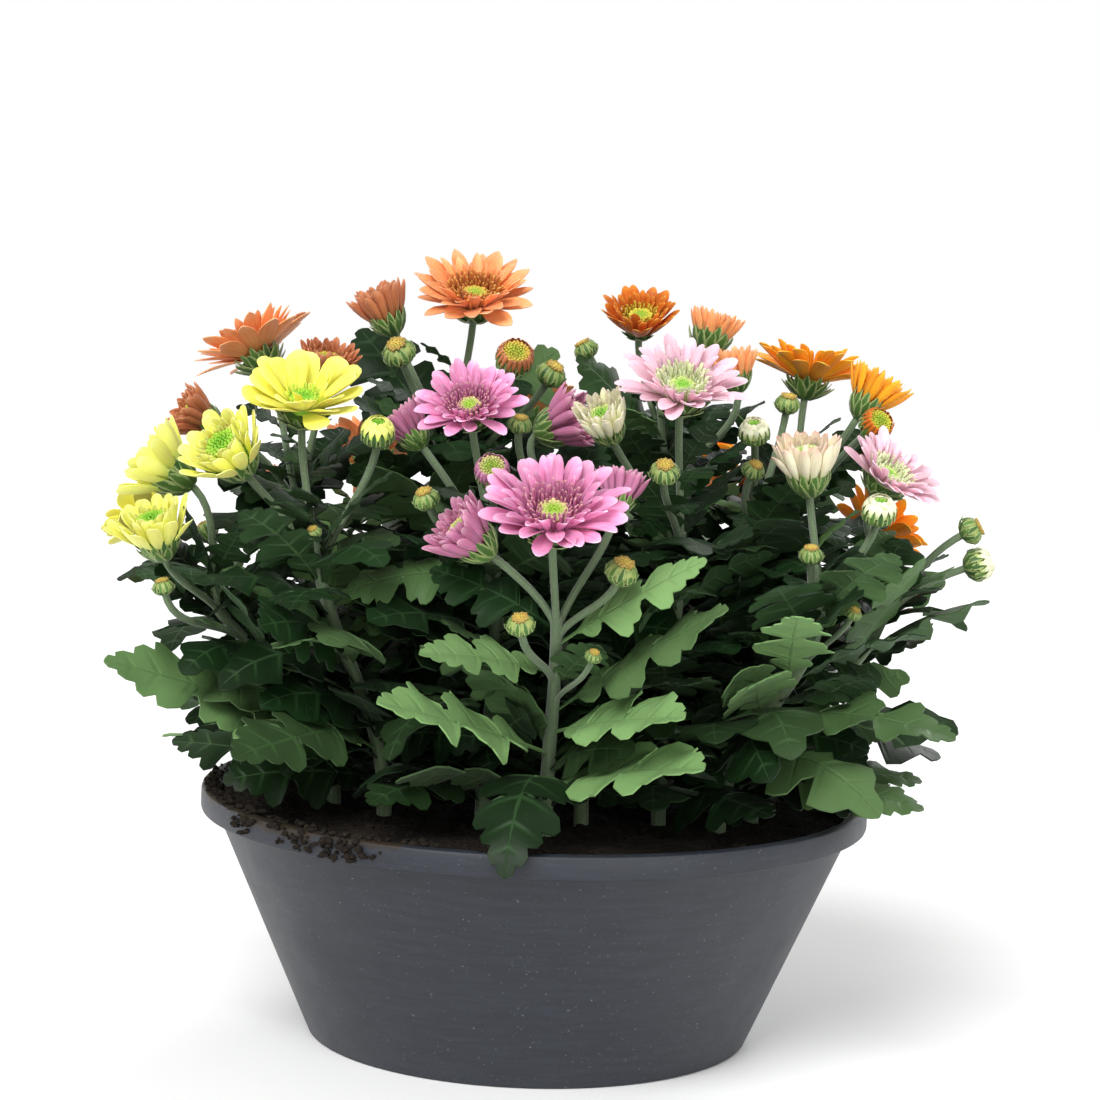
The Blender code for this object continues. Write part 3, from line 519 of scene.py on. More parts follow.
CLOSED_RING = (Row(14, 0.4, 0.02, 0.44, 80, -96, 1.75, 1), Row(12, 0.3, 0.17, 0.26, 74, -84, 1.9, 1.2))
OPEN_RING = (
    Row(20, 0.41, 0, 0.37, 82, -52, 1.05, 1.2), Row(19, 0.37, 0.06, 0.27, 80, -48, 1.1, 1.4),
    Row(18, 0.32, 0.12, 0.18, 78, -44, 1.2, 1.8),
)
CUP_ROWS = {
    "open": (
        Row(11, 0.05, -0.135, 0.22, 24, -30, 1, 0.4), Row(11, 0.1, -0.09, 0.17, 40, -36, 1, 0.4),
    ),
    "half": (
        Row(11, 0.08, -0.3, 0.44, 24, -58, 1, 0.4), Row(12, 0.24, -0.16, 0.36, 54, -40, 1, 0.4),
    ),
    "ring": (
        Row(10, 0.1, -0.34, 0.5, 10, -78, 1.05, 0.4), Row(11, 0.4, -0.15, 0.4, 74, -66, 1.05, 0.4),
    ),
    "bud": (
        Row(9, 0.12, -0.38, 0.58, 8, -80, 1.05, 0.4), Row(10, 0.45, -0.14, 0.44, 82, -74, 1.1, 0.4),
        Row(9, 0.35, 0.1, 0.26, 118, -56, 1.3, 0.4),
    ),
}
# The disc of small florets: its radius and height over the seat, how many florets and their size
Disc = namedtuple("Disc", "radius height count size")
DISCS = {
    "open": Disc(0.09, 0.115, 60, 0.021), "young": Disc(0.13, 0.21, 64, 0.026),
    "half": Disc(0.21, 0.43, 60, 0.035), "ring": Disc(0.25, 0.25, 40, 0.055),
    "open_ring": Disc(0.3, 0.24, 72, 0.045), "bud": Disc(0.24, 0.26, 40, 0.055),
}
# The disc's fall towards its edge, how deep its florets sit, how they lean outwards, and their size in
# its middle and what it gains towards its edge
DISC_FALL = 0.12
FLORET_SUNK = 0.3
FLORET_LEAN = 0.35
FLORET_GROWTH = (0.75, 0.35)
FLORET_RANGE = (0.85, 1.1)

# Colours from root to tip of petals and quills, then those of the disc's middle and edge, and last
# those of a young head's petals
Flower = namedtuple("Flower", "petal quill disc young", defaults=[None])
FLOWERS = {
    "pink": Flower(((0.55, 0.17, 0.34), (0.8, 0.35, 0.57), (0.93, 0.65, 0.82)),
                   ((0.42, 0.1, 0.24), (0.62, 0.22, 0.4), (0.78, 0.52, 0.46)),
                   ((0.32, 0.52, 0.05), (0.72, 0.6, 0.3)),
                   ((0.42, 0.14, 0.24), (0.6, 0.22, 0.38), (0.82, 0.5, 0.62))),
    "pale": Flower(((0.72, 0.74, 0.45), (0.87, 0.6, 0.68), (0.93, 0.74, 0.81)),
                   ((0.6, 0.7, 0.28), (0.8, 0.84, 0.55), (0.9, 0.86, 0.72)),
                   ((0.25, 0.55, 0.06), (0.7, 0.76, 0.3)),
                   ((0.55, 0.66, 0.25), (0.86, 0.84, 0.6), (0.93, 0.8, 0.74))),
    "bronze": Flower(((0.6, 0.24, 0.015), (0.93, 0.33, 0.012), (0.98, 0.58, 0.05)),
                     ((0.4, 0.36, 0.03), (0.66, 0.46, 0.04), (0.92, 0.72, 0.12)),
                     ((0.34, 0.5, 0.04), (0.72, 0.6, 0.07)),
                     ((0.45, 0.2, 0.02), (0.66, 0.17, 0.012), (0.93, 0.46, 0.05))),
    "peach": Flower(((0.7, 0.3, 0.06), (0.93, 0.41, 0.16), (0.97, 0.58, 0.33)),
                    ((0.36, 0.12, 0.02), (0.62, 0.22, 0.05), (0.87, 0.56, 0.14)),
                    ((0.4, 0.5, 0.05), (0.78, 0.52, 0.1)),
                    ((0.36, 0.18, 0.05), (0.58, 0.21, 0.085), (0.78, 0.4, 0.22))),
    "yellow": Flower(((0.72, 0.82, 0.12), (0.95, 0.91, 0.17), (0.97, 0.95, 0.32)),
                     ((0.4, 0.7, 0.08), (0.7, 0.85, 0.14), (0.9, 0.92, 0.3)),
                     ((0.2, 0.5, 0.03), (0.42, 0.66, 0.06)),
                     ((0.6, 0.78, 0.16), (0.93, 0.92, 0.25), (0.96, 0.95, 0.42))),
    "blush": Flower(((0.55, 0.66, 0.25), (0.88, 0.8, 0.6), (0.92, 0.6, 0.56)),
                    ((0.6, 0.7, 0.28), (0.8, 0.84, 0.55), (0.9, 0.86, 0.72)),
                    ((0.35, 0.6, 0.1), (0.8, 0.84, 0.45))),
    "gold": Flower(((0.8, 0.3, 0.015), (0.97, 0.42, 0.014), (1, 0.66, 0.08)),
                   ((0.7, 0.3, 0.015), (0.9, 0.45, 0.03), (0.95, 0.68, 0.1)),
                   ((0.42, 0.5, 0.04), (0.8, 0.56, 0.06))),
}
# Pale green of young leaves and of their veins, also used as painted light on the chosen leaves at the
# front
YOUNG_LEAF = (0.165, 0.295, 0.105)
YOUNG_VEIN = (0.12, 0.23, 0.075)
# Heights in metres between which the painted shade on low leaves fades, so that leaves get lighter
# upwards, and heights and places to the left between which soil covers the pot's rim
DARK_BELOW = (0.09, 0.16)
SPILLED_OVER = (0.081, 0.0855)
SPILLED_LEFT = (0.02, -0.09)

# The point that the camera and the lights look at, and each light's name, kind, place and power
AIM = Vector((2.3, 0, 168)) * MM
LIGHTS = (
    ("key", "SUN", (-0.5, -1.2, 1.5), 3.0), ("fill", "AREA", (0.9, -1.3, 0.5), 6),
    ("back", "SUN", (0.8, 1.4, 1.2), 1.1),
)
SUN_ANGLE = 35
LAMP_WIDTH = 1.2
FLOOR_REACH = 4
# The sky's brightness falls between two heights, from the third value to the fourth
SKY = (0.22, 0.5, 1.0, 0.5)


class PotSettings(bpy.types.PropertyGroup):
    """Size and colour of the pot"""
    rim_radius: FloatProperty(
        name="Rim radius", description="Outer radius of the rim band", unit="LENGTH",
        default=(pot_high.x - pot_low.x) / 2)
    height: FloatProperty(
        name="Height", description="Height of the pot", unit="LENGTH", default=pot_high.z)
    sides: IntProperty(name="Sides", description="Steps round the pot", default=144, min=32)
    colour: FloatVectorProperty(
        name="Plastic", description="Colour of the pot", subtype="COLOR",
        default=(0.013, 0.016, 0.023))


class SoilSettings(bpy.types.PropertyGroup):
    """Crumbs and colour of the soil"""
    crumbs: IntProperty(name="Crumbs", description="Loose crumbs on the soil", default=560, min=0)
    colour: FloatVectorProperty(
        name="Peat", description="Colour of the soil", subtype="COLOR", default=(0.007, 0.005, 0.0035))


class FoliageSettings(bpy.types.PropertyGroup):
    """Number and colours of leaves and stems"""
    inner_spacing: FloatProperty(
        name="Inner leaf spacing", description="Way up a stem between inner leaves, in millimetres",
        default=3.5, min=3)
    upper: FloatVectorProperty(
        name="Upper face", description="Colour of a leaf's upper face", subtype="COLOR",
        default=(0.006, 0.023, 0.005))
    under: FloatVectorProperty(
        name="Underside", description="Colour of a leaf's underside", subtype="COLOR",
        default=(0.032, 0.078, 0.024))
    stem: FloatVectorProperty(
        name="Stem", description="Colour of stems and stalks", subtype="COLOR",
        default=(0.095, 0.14, 0.07))


class StageSettings(bpy.types.PropertyGroup):
    """The camera's place and lens"""
    distance: FloatProperty(
        name="Distance", description="Camera to the middle of the plants", unit="LENGTH", default=1.0)
    elevation: FloatProperty(
        name="Elevation", description="Camera's height as an angle", subtype="ANGLE",
        default=math.radians(5.8))
    tilt: FloatProperty(
        name="Tilt", description="Turn of the picture", subtype="ANGLE", default=math.radians(2.06))
    lens: FloatProperty(name="Lens", description="Focal length in millimetres", default=95.04)


def head_frame(head):
    """A head's own frame: Z the way it faces, and its origin on the top of the green cup."""
    face = Vector(head.face).normalized()
    seat = Vector(head.at) - face * SEAT[head.kind] * head.width
    return Matrix.Translation(seat) @ face.to_track_quat("Z", "X").to_matrix().to_4x4()


def around(radius, turn, height):
    return Vector((radius * math.cos(turn), radius * math.sin(turn), height))


def soil_height(x, y):
    """The height of the soil, level with small bumps and a heap at the left."""
    heap = HEAP_HEIGHT * math.exp(-(Vector((x, y)) - HEAP_AT).length_squared / HEAP_SPREAD ** 2)
    return SOIL_LEVEL + heap + SOIL_BUMP * noise.noise(Vector((x, y, SEED)) / SOIL_BUMP_WIDTH)


def stem_line(stem, points):
    """Points from a stem's foot in the soil, straight up out of it and over to its crown."""
    foot = Vector((*stem.root, SOIL_LEVEL - ROOT_DEPTH))
    start = Vector((*stem.root, SOIL_LEVEL + STEM_RISE))
    crown = Vector(stem.crown)
    way = (Vector(stem.heads[0].at) - crown).normalized()
    reach = (crown - start).length
    return [foot, *geometry.interpolate_bezier(
        start, start + Vector((0, 0, reach * STEM_BEND[0])), crown - way * reach * STEM_BEND[1], crown,
        points)]


def at_share(line, share):
    """The point at a share of a stem's way from the soil to its crown, and the way it runs there."""
    place = 1 + share * (len(line) - 2)
    k = min(int(place), len(line) - 2)
    return line[k].lerp(line[k + 1], place - k), (line[k + 1] - line[k]).normalized()


def stalk_line(head, line, points):
    """Points from inside a stem to inside the green cup of a head."""
    start, way = at_share(line, head.branch)
    start = start - way * STALK_ROOT
    face = Vector(head.face).normalized()
    end = head_frame(head) @ Vector((0, 0, -STALK_INTO_CUP * CUP_DEPTH[head.kind] * head.width))
    reach = (end - start).length
    way = (way + (end - start) / reach).normalized()
    return geometry.interpolate_bezier(
        start, start + way * reach * STALK_BEND, end - face * reach * STALK_BEND, end, points)


def towards(aimed, line):
    """The leaf on a stem whose tip has a chosen place."""
    chord = Vector(aimed.tip) - at_share(line, aimed.up)[0]
    half = math.radians(aimed.droop) / 2
    heading = math.degrees(math.atan2(chord.y, chord.x))
    pitch = math.degrees(math.asin(chord.z / chord.length)) + aimed.droop / 2
    return Leaf(aimed.up, heading, pitch, aimed.droop, aimed.roll, chord.length * half / math.sin(half))


def planned_leaves(stem, line):
    """The leaves with a chosen place, then leaves up the stem by the golden angle."""
    for aimed in AIMED_LEAVES.get(stem.name, ()):
        yield towards(aimed, line)
    draw = random.Random(f"{SEED} {stem.name}")
    reach = sum((b - a).length for a, b in zip(line[1:], line[2:]))
    outward = math.degrees(math.atan2(stem.crown[1], stem.crown[0]))
    shaded = Vector(stem.root).length < SHADE_RADIUS
    first, turn = (FIRST_SHADED_LEAF, 1) if shaded else (FIRST_LEAF, TURN_TO_LIGHT)
    for k in range(int((reach - first) / LEAF_SPACING) + 1):
        up = (first + k * LEAF_SPACING) / reach
        round_the_stem = (k * GOLDEN_ANGLE + 180) % 360 - 180
        heading = outward + turn * round_the_stem + draw.uniform(-HEADING_SPREAD, HEADING_SPREAD)
        pitch = LOW_PITCH + PITCH_GAIN * up + draw.uniform(-PITCH_SPREAD, PITCH_SPREAD)
        yield Leaf(up, heading, pitch, draw.uniform(*DROOP_RANGE),
                   draw.uniform(-ROLL_SPREAD, ROLL_SPREAD), LOW_LEAF + (HIGH_LEAF - LOW_LEAF) * up)


def choices(leaf, lengths=SHORTENED):
    """A planned leaf, then the same leaf turned, tipped and at last shortened."""
    for length in lengths:
        for pitch in TIPPED:
            for heading in TURNED:
                yield leaf._replace(heading=leaf.heading + heading, pitch=leaf.pitch + pitch,
                                    length=leaf.length * length)


def leaf_frame(leaf, line):
    """A leaf's own frame: X along its midrib, Y across the blade and Z out of its upper face."""
    turn = Matrix.Rotation(math.radians(leaf.heading), 4, "Z")
    tip_up = Matrix.Rotation(-math.radians(leaf.pitch), 4, "Y")
    roll = Matrix.Rotation(math.radians(leaf.roll), 4, "X")
    return Matrix.Translation(at_share(line, leaf.up)[0]) @ turn @ tip_up @ roll


def bent(along, across, rise, length, droop):
    """A point of a flat blade, in shares of its length, after the blade bends down by droop."""
    turn = math.radians(droop) * along
    radius = length / (math.radians(droop) or 1e-6)
    out = radius + rise * length
    return Vector((out * math.sin(turn), across * length, out * math.cos(turn) - radius))


# Shapes that are made once and placed many times

def finished_shape(name, bm):
    """A mesh from a finished bmesh."""
    mesh = bpy.data.meshes.new(name)
    bm.to_mesh(mesh)
    bm.free()
    return mesh


def linked(name, data):
    """A new object of the scene, at the origin."""
    made = bpy.data.objects.new(name, data)
    bpy.context.scene.collection.objects.link(made)
    return made


def placed(name, bm):
    """A new object of the scene from a bmesh in millimetres."""
    bm.transform(Matrix.Scale(MM, 4))
    return linked(name, finished_shape(name, bm))


def face_outwards(bm):
    """Turns the faces of a closed body outwards."""
    bmesh.ops.recalc_face_normals(bm, faces=bm.faces)
    if bm.calc_volume(signed=True) < 0:
        bmesh.ops.reverse_faces(bm, faces=bm.faces)


def spun(profile, steps):
    """A body whose profile, as radius and height, is turned once round Z."""
    bm = bmesh.new()
    chain = [bm.verts.new((radius, 0, height)) for radius, height in profile]
    edges = [bm.edges.new(pair) for pair in zip(chain, chain[1:])]
    bmesh.ops.spin(bm, geom=chain + edges, cent=(0, 0, 0), axis=(0, 0, 1), angle=math.tau, steps=steps,
                   use_merge=True)
    bmesh.ops.remove_doubles(bm, verts=bm.verts, dist=1e-3)
    return bm


def blade_shape(name, steps, rows, outline, thick, upper=0, under=0):
    """A thin closed blade from a grid that is drawn out to an outline, with a UV map that runs along
    and across it. upper and under are the materials of its faces."""
    bm = bmesh.new()
    grain = bm.loops.layers.uv.new("grain")
    bmesh.ops.create_grid(bm, x_segments=steps, y_segments=rows, size=1)
    for face in bm.faces:
        face.smooth = True
        for loop in face.loops:
            loop[grain].uv = (loop.vert.co.x + 1) / 2, (loop.vert.co.y + 1) / 2
    for v in bm.verts:
        along, across = outline((v.co.x + 1) / 2, abs(v.co.y))
        v.co = along, math.copysign(across, v.co.y) if abs(v.co.y) > 1e-6 else 0, thick / 2
    tops = set(bm.verts)
    bm.normal_update()
    bmesh.ops.solidify(bm, geom=bm.faces[:], thickness=thick)
    rim = [face for face in bm.faces if len({v in tops for v in face.verts}) == 2]
    place = {loop.vert: loop[grain].uv.copy()
             for face in bm.faces if face not in rim for loop in face.loops}
    for face in bm.faces:
        face.material_index = under if not any(v in tops for v in face.verts) else upper
        for loop in face.loops:
            loop[grain].uv = place[loop.vert]
    face_outwards(bm)
    return finished_shape(name, bm)


def leaf_outline(share, side):
    """A leaf's point at a share of its margin, and from the midrib (0) out to the margin (1)."""
    place = share * (len(LEAF_MARGIN) - 1)
    k = min(int(place + 1e-6), len(LEAF_MARGIN) - 2)
    along, across = Vector(LEAF_MARGIN[k]).lerp(Vector(LEAF_MARGIN[k + 1]), place - k)
    rib = along - VEIN_LEAN * across
    return rib + (along - rib) * side, across * side


def petal_shape(name, table, rows, thick, material=0):
    """A petal, quill or scale from a table of its half-widths."""
    def outline(share, side):
        along, across = table[round(share * (len(table) - 1))]
        return along, across * side
    blade_shape(name, len(table) - 1, rows, outline, thick, material, material)


def tube_shape(name, sides, steps, material):
    """A straight tube along Z from 0 to 1, with a rib along every other edge."""
    bm = bmesh.new()
    grain = bm.loops.layers.uv.new("grain")
    bmesh.ops.create_cone(bm, cap_ends=True, segments=sides, radius1=1, radius2=1, depth=1,
                          matrix=Matrix.Translation((0, 0, 0.5)))
    upright = [edge for edge in bm.edges if abs(edge.verts[0].co.z - edge.verts[1].co.z) > 0.5]
    bmesh.ops.subdivide_edges(bm, edges=upright, cuts=steps - 1, use_grid_fill=False)
    for face in bm.faces:
        face.material_index = material
        face.smooth = len(face.verts) == 4
        turns = [(math.atan2(loop.vert.co.y, loop.vert.co.x) / math.tau) % 1 for loop in face.loops]
        wraps = max(turns) - min(turns) > 0.5
        for loop, turn in zip(face.loops, turns):
            loop[grain].uv = loop.vert.co.z, turn + (1 if wraps and turn < 0.5 else 0)
    for v in bm.verts:
        side = round(math.atan2(v.co.y, v.co.x) / math.tau * sides)
        v.co.xy *= RIBS[side % 2]
    face_outwards(bm)
    return finished_shape(name, bm)


def floret_shape(name, material):
    """A small closed floret: five-sided, wider towards its drawn-in top."""
    bm = bmesh.new()
    bm.loops.layers.uv.new("grain")
    bmesh.ops.create_cone(bm, cap_ends=True, segments=5, radius1=0.55, radius2=0.9, depth=1,
                          matrix=Matrix.Translation((0, 0, 0.5)))
    top = max(bm.faces, key=lambda face: face.calc_center_median().z)
    bmesh.ops.inset_region(bm, faces=[top], thickness=0.45, depth=0.5)
    for face in bm.faces:
        face.material_index = material
        face.smooth = True
    face_outwards(bm)
    return finished_shape(name, bm)


def ball_shape(name, across, up, material):
    """A ball of radius 1."""
    bm = bmesh.new()
    grain = bm.loops.layers.uv.new("grain")
    bmesh.ops.create_uvsphere(bm, u_segments=across, v_segments=up, radius=1)
    for face in bm.faces:
        face.material_index = material
        face.smooth = True
        for loop in face.loops:
            loop[grain].uv = (loop.vert.co.z + 1) / 2, 0.5
    return finished_shape(name, bm)


class Piece:
    """A piece under construction: shapes placed in it in millimetres, each with a tone of its own."""

    def __init__(self):
        self.bm = bmesh.new()
        self.bm.loops.layers.uv.new("grain")
        self.tone = self.bm.verts.layers.float.new("tone")
        self.young = self.bm.verts.layers.float.new("young")

    def add(self, shape, place, tone=0.5, young=0.0):
        first = len(self.bm.verts)
        self.bm.from_mesh(shape)
        self.bm.verts.ensure_lookup_table()
        for v in self.bm.verts[first:]:
            v.co = place(v.co)
            v[self.tone] = tone
            v[self.young] = young

    def finish(self, name, materials, slot, nodes=()):
        mesh = bpy.data.meshes.new(name)
        self.bm.transform(Matrix.Scale(MM, 4))
        bmesh.ops.triangulate(self.bm, faces=[face for face in self.bm.faces if len(face.verts) > 4])
        self.bm.to_mesh(mesh)
        self.bm.free()
        mesh.set_sharp_from_angle(angle=math.radians(55))
        for made in materials:
            mesh.materials.append(made)
        piece = linked(name, mesh)
        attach(piece, "root")
        if nodes:
            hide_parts(*nodes)


def shapes():
    """The shapes that pieces are put together from, made on first use. Their materials count as in
    flower_materials and foliage_materials."""
    if "chrysanthemum_leaf" not in bpy.data.meshes:
        blade_shape("chrysanthemum_leaf", len(LEAF_MARGIN) - 1, 6, leaf_outline, 0.008, 1, 2)
        blade_shape("inner_leaf", len(LEAF_MARGIN) // 2, 2, leaf_outline, 0.01, 1, 2)
        for name, table in PETALS.items():
            petal_shape(name, table, 4, 0.016)
        petal_shape("quill", QUILL, 2, 0.05, 1)
        petal_shape("scale", SCALE, 2, 0.025, 3)
        tube_shape("stalk", TUBE_SIDES, TUBE_STEPS, 0)
        floret_shape("floret", 2)
        floret_shape("bud_floret", 5)
        ball_shape("cup", 14, 10, 3)
        ball_shape("bud_core", 16, 10, 4)
        ball_shape("head_core", 12, 8, 2)
    return bpy.data.meshes


def petal_place(head_place, row, angle, width, pitch, droop, length, roll):
    """Moves a petal's shape to its place in a ring on a head of a given width."""
    place = (head_place @ Matrix.Rotation(angle, 4, "Z")
             @ Matrix.Translation((row.radius * width, 0, row.height * width))
             @ Matrix.Rotation(-math.radians(pitch), 4, "Y")
             @ Matrix.Rotation(math.radians(roll), 4, "X"))

    def move(point):
        rise = point.z + row.curl * point.y ** 2 * 4 / max(row.width, 0.5)
        return place @ bent(point.x, point.y * row.width, rise, length, droop)
    return move


def add_rows(piece, head, rows, shape_names, draw, spread=1.0):
    """Rings of petals, quills or scales on a head, each ring turned half a step from the last."""
    place = head_frame(head)

    def either_way(most):
        return spread * draw.uniform(-most, most)

    for k, row in enumerate(rows):
        shape = shapes()[shape_names[min(k, len(shape_names) - 1)]]
        phase = draw.uniform(0, math.tau) if not k else phase + math.pi / row.count
        for j in range(row.count):
            angle = phase + math.tau * (j + either_way(PETAL_STEP_SPREAD)) / row.count
            pitch = row.pitch + either_way(PETAL_PITCH_SPREAD)
            droop = row.droop + either_way(PETAL_DROOP_SPREAD)
            length = row.length * head.width * (1 + spread * draw.uniform(*PETAL_LENGTH_RANGE))
            roll = either_way(PETAL_ROLL_SPREAD)
            piece.add(shape, petal_place(place, row, angle, head.width, pitch, droop, length, roll),
                      draw.random())


def add_disc(piece, head, form, shape_name, draw):
    """Small florets in the golden spiral over a low dome."""
    disc = DISCS[form]
    place = head_frame(head)
    for k in range(disc.count):
        share = math.sqrt((k + 0.5) / disc.count)
        angle = math.radians(k * GOLDEN_ANGLE)
        height = disc.height - DISC_FALL * disc.radius * share ** 2 - FLORET_SUNK * disc.size
        seat = around(disc.radius * share, angle, height)
        lean = Vector((FLORET_LEAN * math.cos(angle) * share, FLORET_LEAN * math.sin(angle) * share, 1))
        turn = lean.to_track_quat("Z", "X").to_matrix().to_4x4()
        grow = (disc.size * head.width * (FLORET_GROWTH[0] + FLORET_GROWTH[1] * share)
                * draw.uniform(*FLORET_RANGE))
        whole = place @ Matrix.Translation(seat * head.width) @ turn @ Matrix.Scale(grow, 4)
        piece.add(shapes()[shape_name], lambda point, whole=whole: whole @ point, share)


def add_ball(piece, head, shape_name, radius, below, above, tone=0.5):
    """A core in the green cup: a ball whose lower half is as deep and upper half as high as given."""
    place = head_frame(head) @ Matrix.Scale(head.width, 4)

    def move(point):
        rise = point.z * (above if point.z > 0 else below)
        return place @ Vector((point.x * radius, point.y * radius, rise))
    piece.add(shapes()[shape_name], move, tone)


def add_tube(piece, line, start_radius, end_radius, tone):
    """A ribbed stalk that follows a line of points."""
    ways = [(b - a).normalized() for a, b in zip(line, line[1:])]
    ways = [ways[0], *((a + b).normalized() for a, b in zip(ways, ways[1:])), ways[-1]]
    side = ways[0].orthogonal().normalized()
    frames = []
    for point, way in zip(line, ways):
        side = (side - way * side.dot(way)).normalized()
        frames.append((point, side, way.cross(side)))

    def move(point):
        k = round(point.z * (len(line) - 1))
        centre, x, y = frames[k]
        radius = start_radius + (end_radius - start_radius) * k / (len(line) - 1)
        return centre + radius * (point.x * x + point.y * y)
    piece.add(shapes()["stalk"], move, tone)


def leaf_mover(leaf, place, shift, draw, slim=1.0, chosen_fold=None):
    """Moves a leaf's shape to its place: folded along the midrib, waved, twisted, its lobes curled.
    shift takes its foot to the side of the finer stem."""
    fold = draw.uniform(*FOLD_RANGE)
    curl = draw.uniform(*CURL_RANGE)
    wave = draw.uniform(*WAVE_RANGE)
    twist = math.radians(draw.uniform(-TWIST_SPREAD, TWIST_SPREAD))
    widths = slim * draw.uniform(*WIDTH_RANGE), slim * draw.uniform(*WIDTH_RANGE)
    phases = draw.uniform(0, 1), draw.uniform(0, 1)
    if chosen_fold is not None:
        fold, twist = chosen_fold, 0

    def move(point):
        side = point.y < 0
        across = point.y * widths[side]
        out = min(abs(across) / ROUNDED, 1)
        rise = (point.z + fold * (abs(across) - ROUNDED / 2 * out) - curl * across ** 2
                + wave * out * math.sin(math.tau * (WAVES * point.x + phases[side])))
        turn = twist * point.x
        twisted = (across * math.cos(turn) - rise * math.sin(turn),
                   across * math.sin(turn) + rise * math.cos(turn))
        moved = place @ bent(point.x, *twisted, leaf.length, leaf.droop)
        return moved + shift * (1 - min(point.x, 1)) ** 2
    return move


Obstacle = namedtuple("Obstacle", "tree low high")
Wanted = namedtuple("Wanted", "leaf line fine shape")
Plant = namedtuple("Plant", "stem piece wanted draw")


def obstacle(points, faces):
    """A body that leaves keep clear of, with the corners of its box."""
    low = Vector(min(p[k] for p in points) for k in range(3))
    high = Vector(max(p[k] for p in points) for k in range(3))
    return Obstacle(BVHTree.FromPolygons(points, faces), low, high)


def touch(a, b):
    """Whether two bodies cross."""
    apart = any(a.low[k] > b.high[k] or b.low[k] > a.high[k] for k in range(3))
    return not apart and bool(a.tree.overlap(b.tree))


def surface(name):
    """The faces of a CAD node, in millimetres, for finding what touches it."""
    mesh = frame["nodes"][name].data
    return obstacle([v.co / MM for v in mesh.vertices], [face.vertices[:] for face in mesh.polygons])


def stands_in(tree, leaf, line):
    """Whether a stem's body has this leaf: its tip and lobes lie on the body's surface."""
    place = leaf_frame(leaf, line)
    lobes = [(along, side * across) for along, across in LEAF_OUTLINE[::2] for side in (1, -1)]
    for along, across in [(1, 0), *lobes]:
        point = place @ bent(along, across, 0, leaf.length, leaf.droop)
        if tree.find_nearest(point, BLADE)[0] is None:
            return False
    return True


def blade_outline(leaf, line, start):
    """The outline of a leaf as two strips of faces, for finding what it would touch."""
    place = leaf_frame(leaf, line)
    stations = [(start / leaf.length, 0.02), *LEAF_OUTLINE, (1, 0.02)]
    points = [place @ bent(along, side * across, 0, leaf.length, leaf.droop)
              for along, across in stations for side in (-1, 0, 1)]
    faces = []
    for k in range(len(stations) - 1):
        for j in range(2):
            a = 3 * k + j
            faces += [(a, a + 1, a + 4), (a, a + 4, a + 3)]
    return points, faces


def is_free(points):
    """Whether a leaf stays over the soil and the rim and within the plants' reach."""
    low, high = (Vector(corner) / MM for corner in cad_box)
    for point in points:
        ground = max(RIM_TOP, soil_height(point.x, point.y) + CRUMB_HEIGHT) + CLEAR_OF_SOIL
        if point.xy.length < RIM_RADIUS + CLEAR_OF_RIM and point.z < ground:
            return False
        if any(not low[k] <= point[k] <= high[k] for k in range(3)) or point.z < LOWEST_LEAF:
            return False
    return True


def varied_leaf(rule, up, heading, draw):
    """A leaf by a rule, with the random part of its pitch, droop, roll and length."""
    return Leaf(up, heading, draw.uniform(*rule.pitch) + rule.gain * up, draw.uniform(*rule.droop),
                draw.uniform(-rule.roll, rule.roll),
                (rule.length - rule.loss * up) * draw.uniform(*rule.size))


def inner_leaves(stem, line, spacing):
    """More leaves between the planned ones, smaller towards the crown."""
    draw = random.Random(f"filler {stem.name}")
    reach = sum((b - a).length for a, b in zip(line[1:], line[2:]))
    outward_way = math.degrees(math.atan2(stem.crown[1], stem.crown[0]))
    for k in range(int((reach - FIRST_INNER_LEAF) / spacing)):
        up = (FIRST_INNER_LEAF + k * spacing) / reach
        if up > LEAFY_UP_TO.get(stem.name, 1):
            break
        heading = (outward_way + k * GOLDEN_ANGLE + INNER_TURN
                   + draw.uniform(-INNER_HEADING_SPREAD, INNER_HEADING_SPREAD))
        for turn in WHORL if up < WHORLS_UP_TO else WHORL[:1]:
            yield varied_leaf(INNER_LEAF, up, heading + turn, draw)


def stalk_leaves(head, line):
    """Small leaves on a flower stalk, smaller towards the head."""
    draw = random.Random(f"stalk {head.name} {head.at}")
    count = max(2, int((line[-1] - line[0]).length / STALK_LEAF_SPACING))
    for k in range(count):
        up = STALK_LEAVES_FROM + STALK_LEAVES_OVER * k / count
        yield varied_leaf(STALK_LEAF, up, k * GOLDEN_ANGLE + draw.uniform(0, 360) * (k == 0), draw)


# Materials

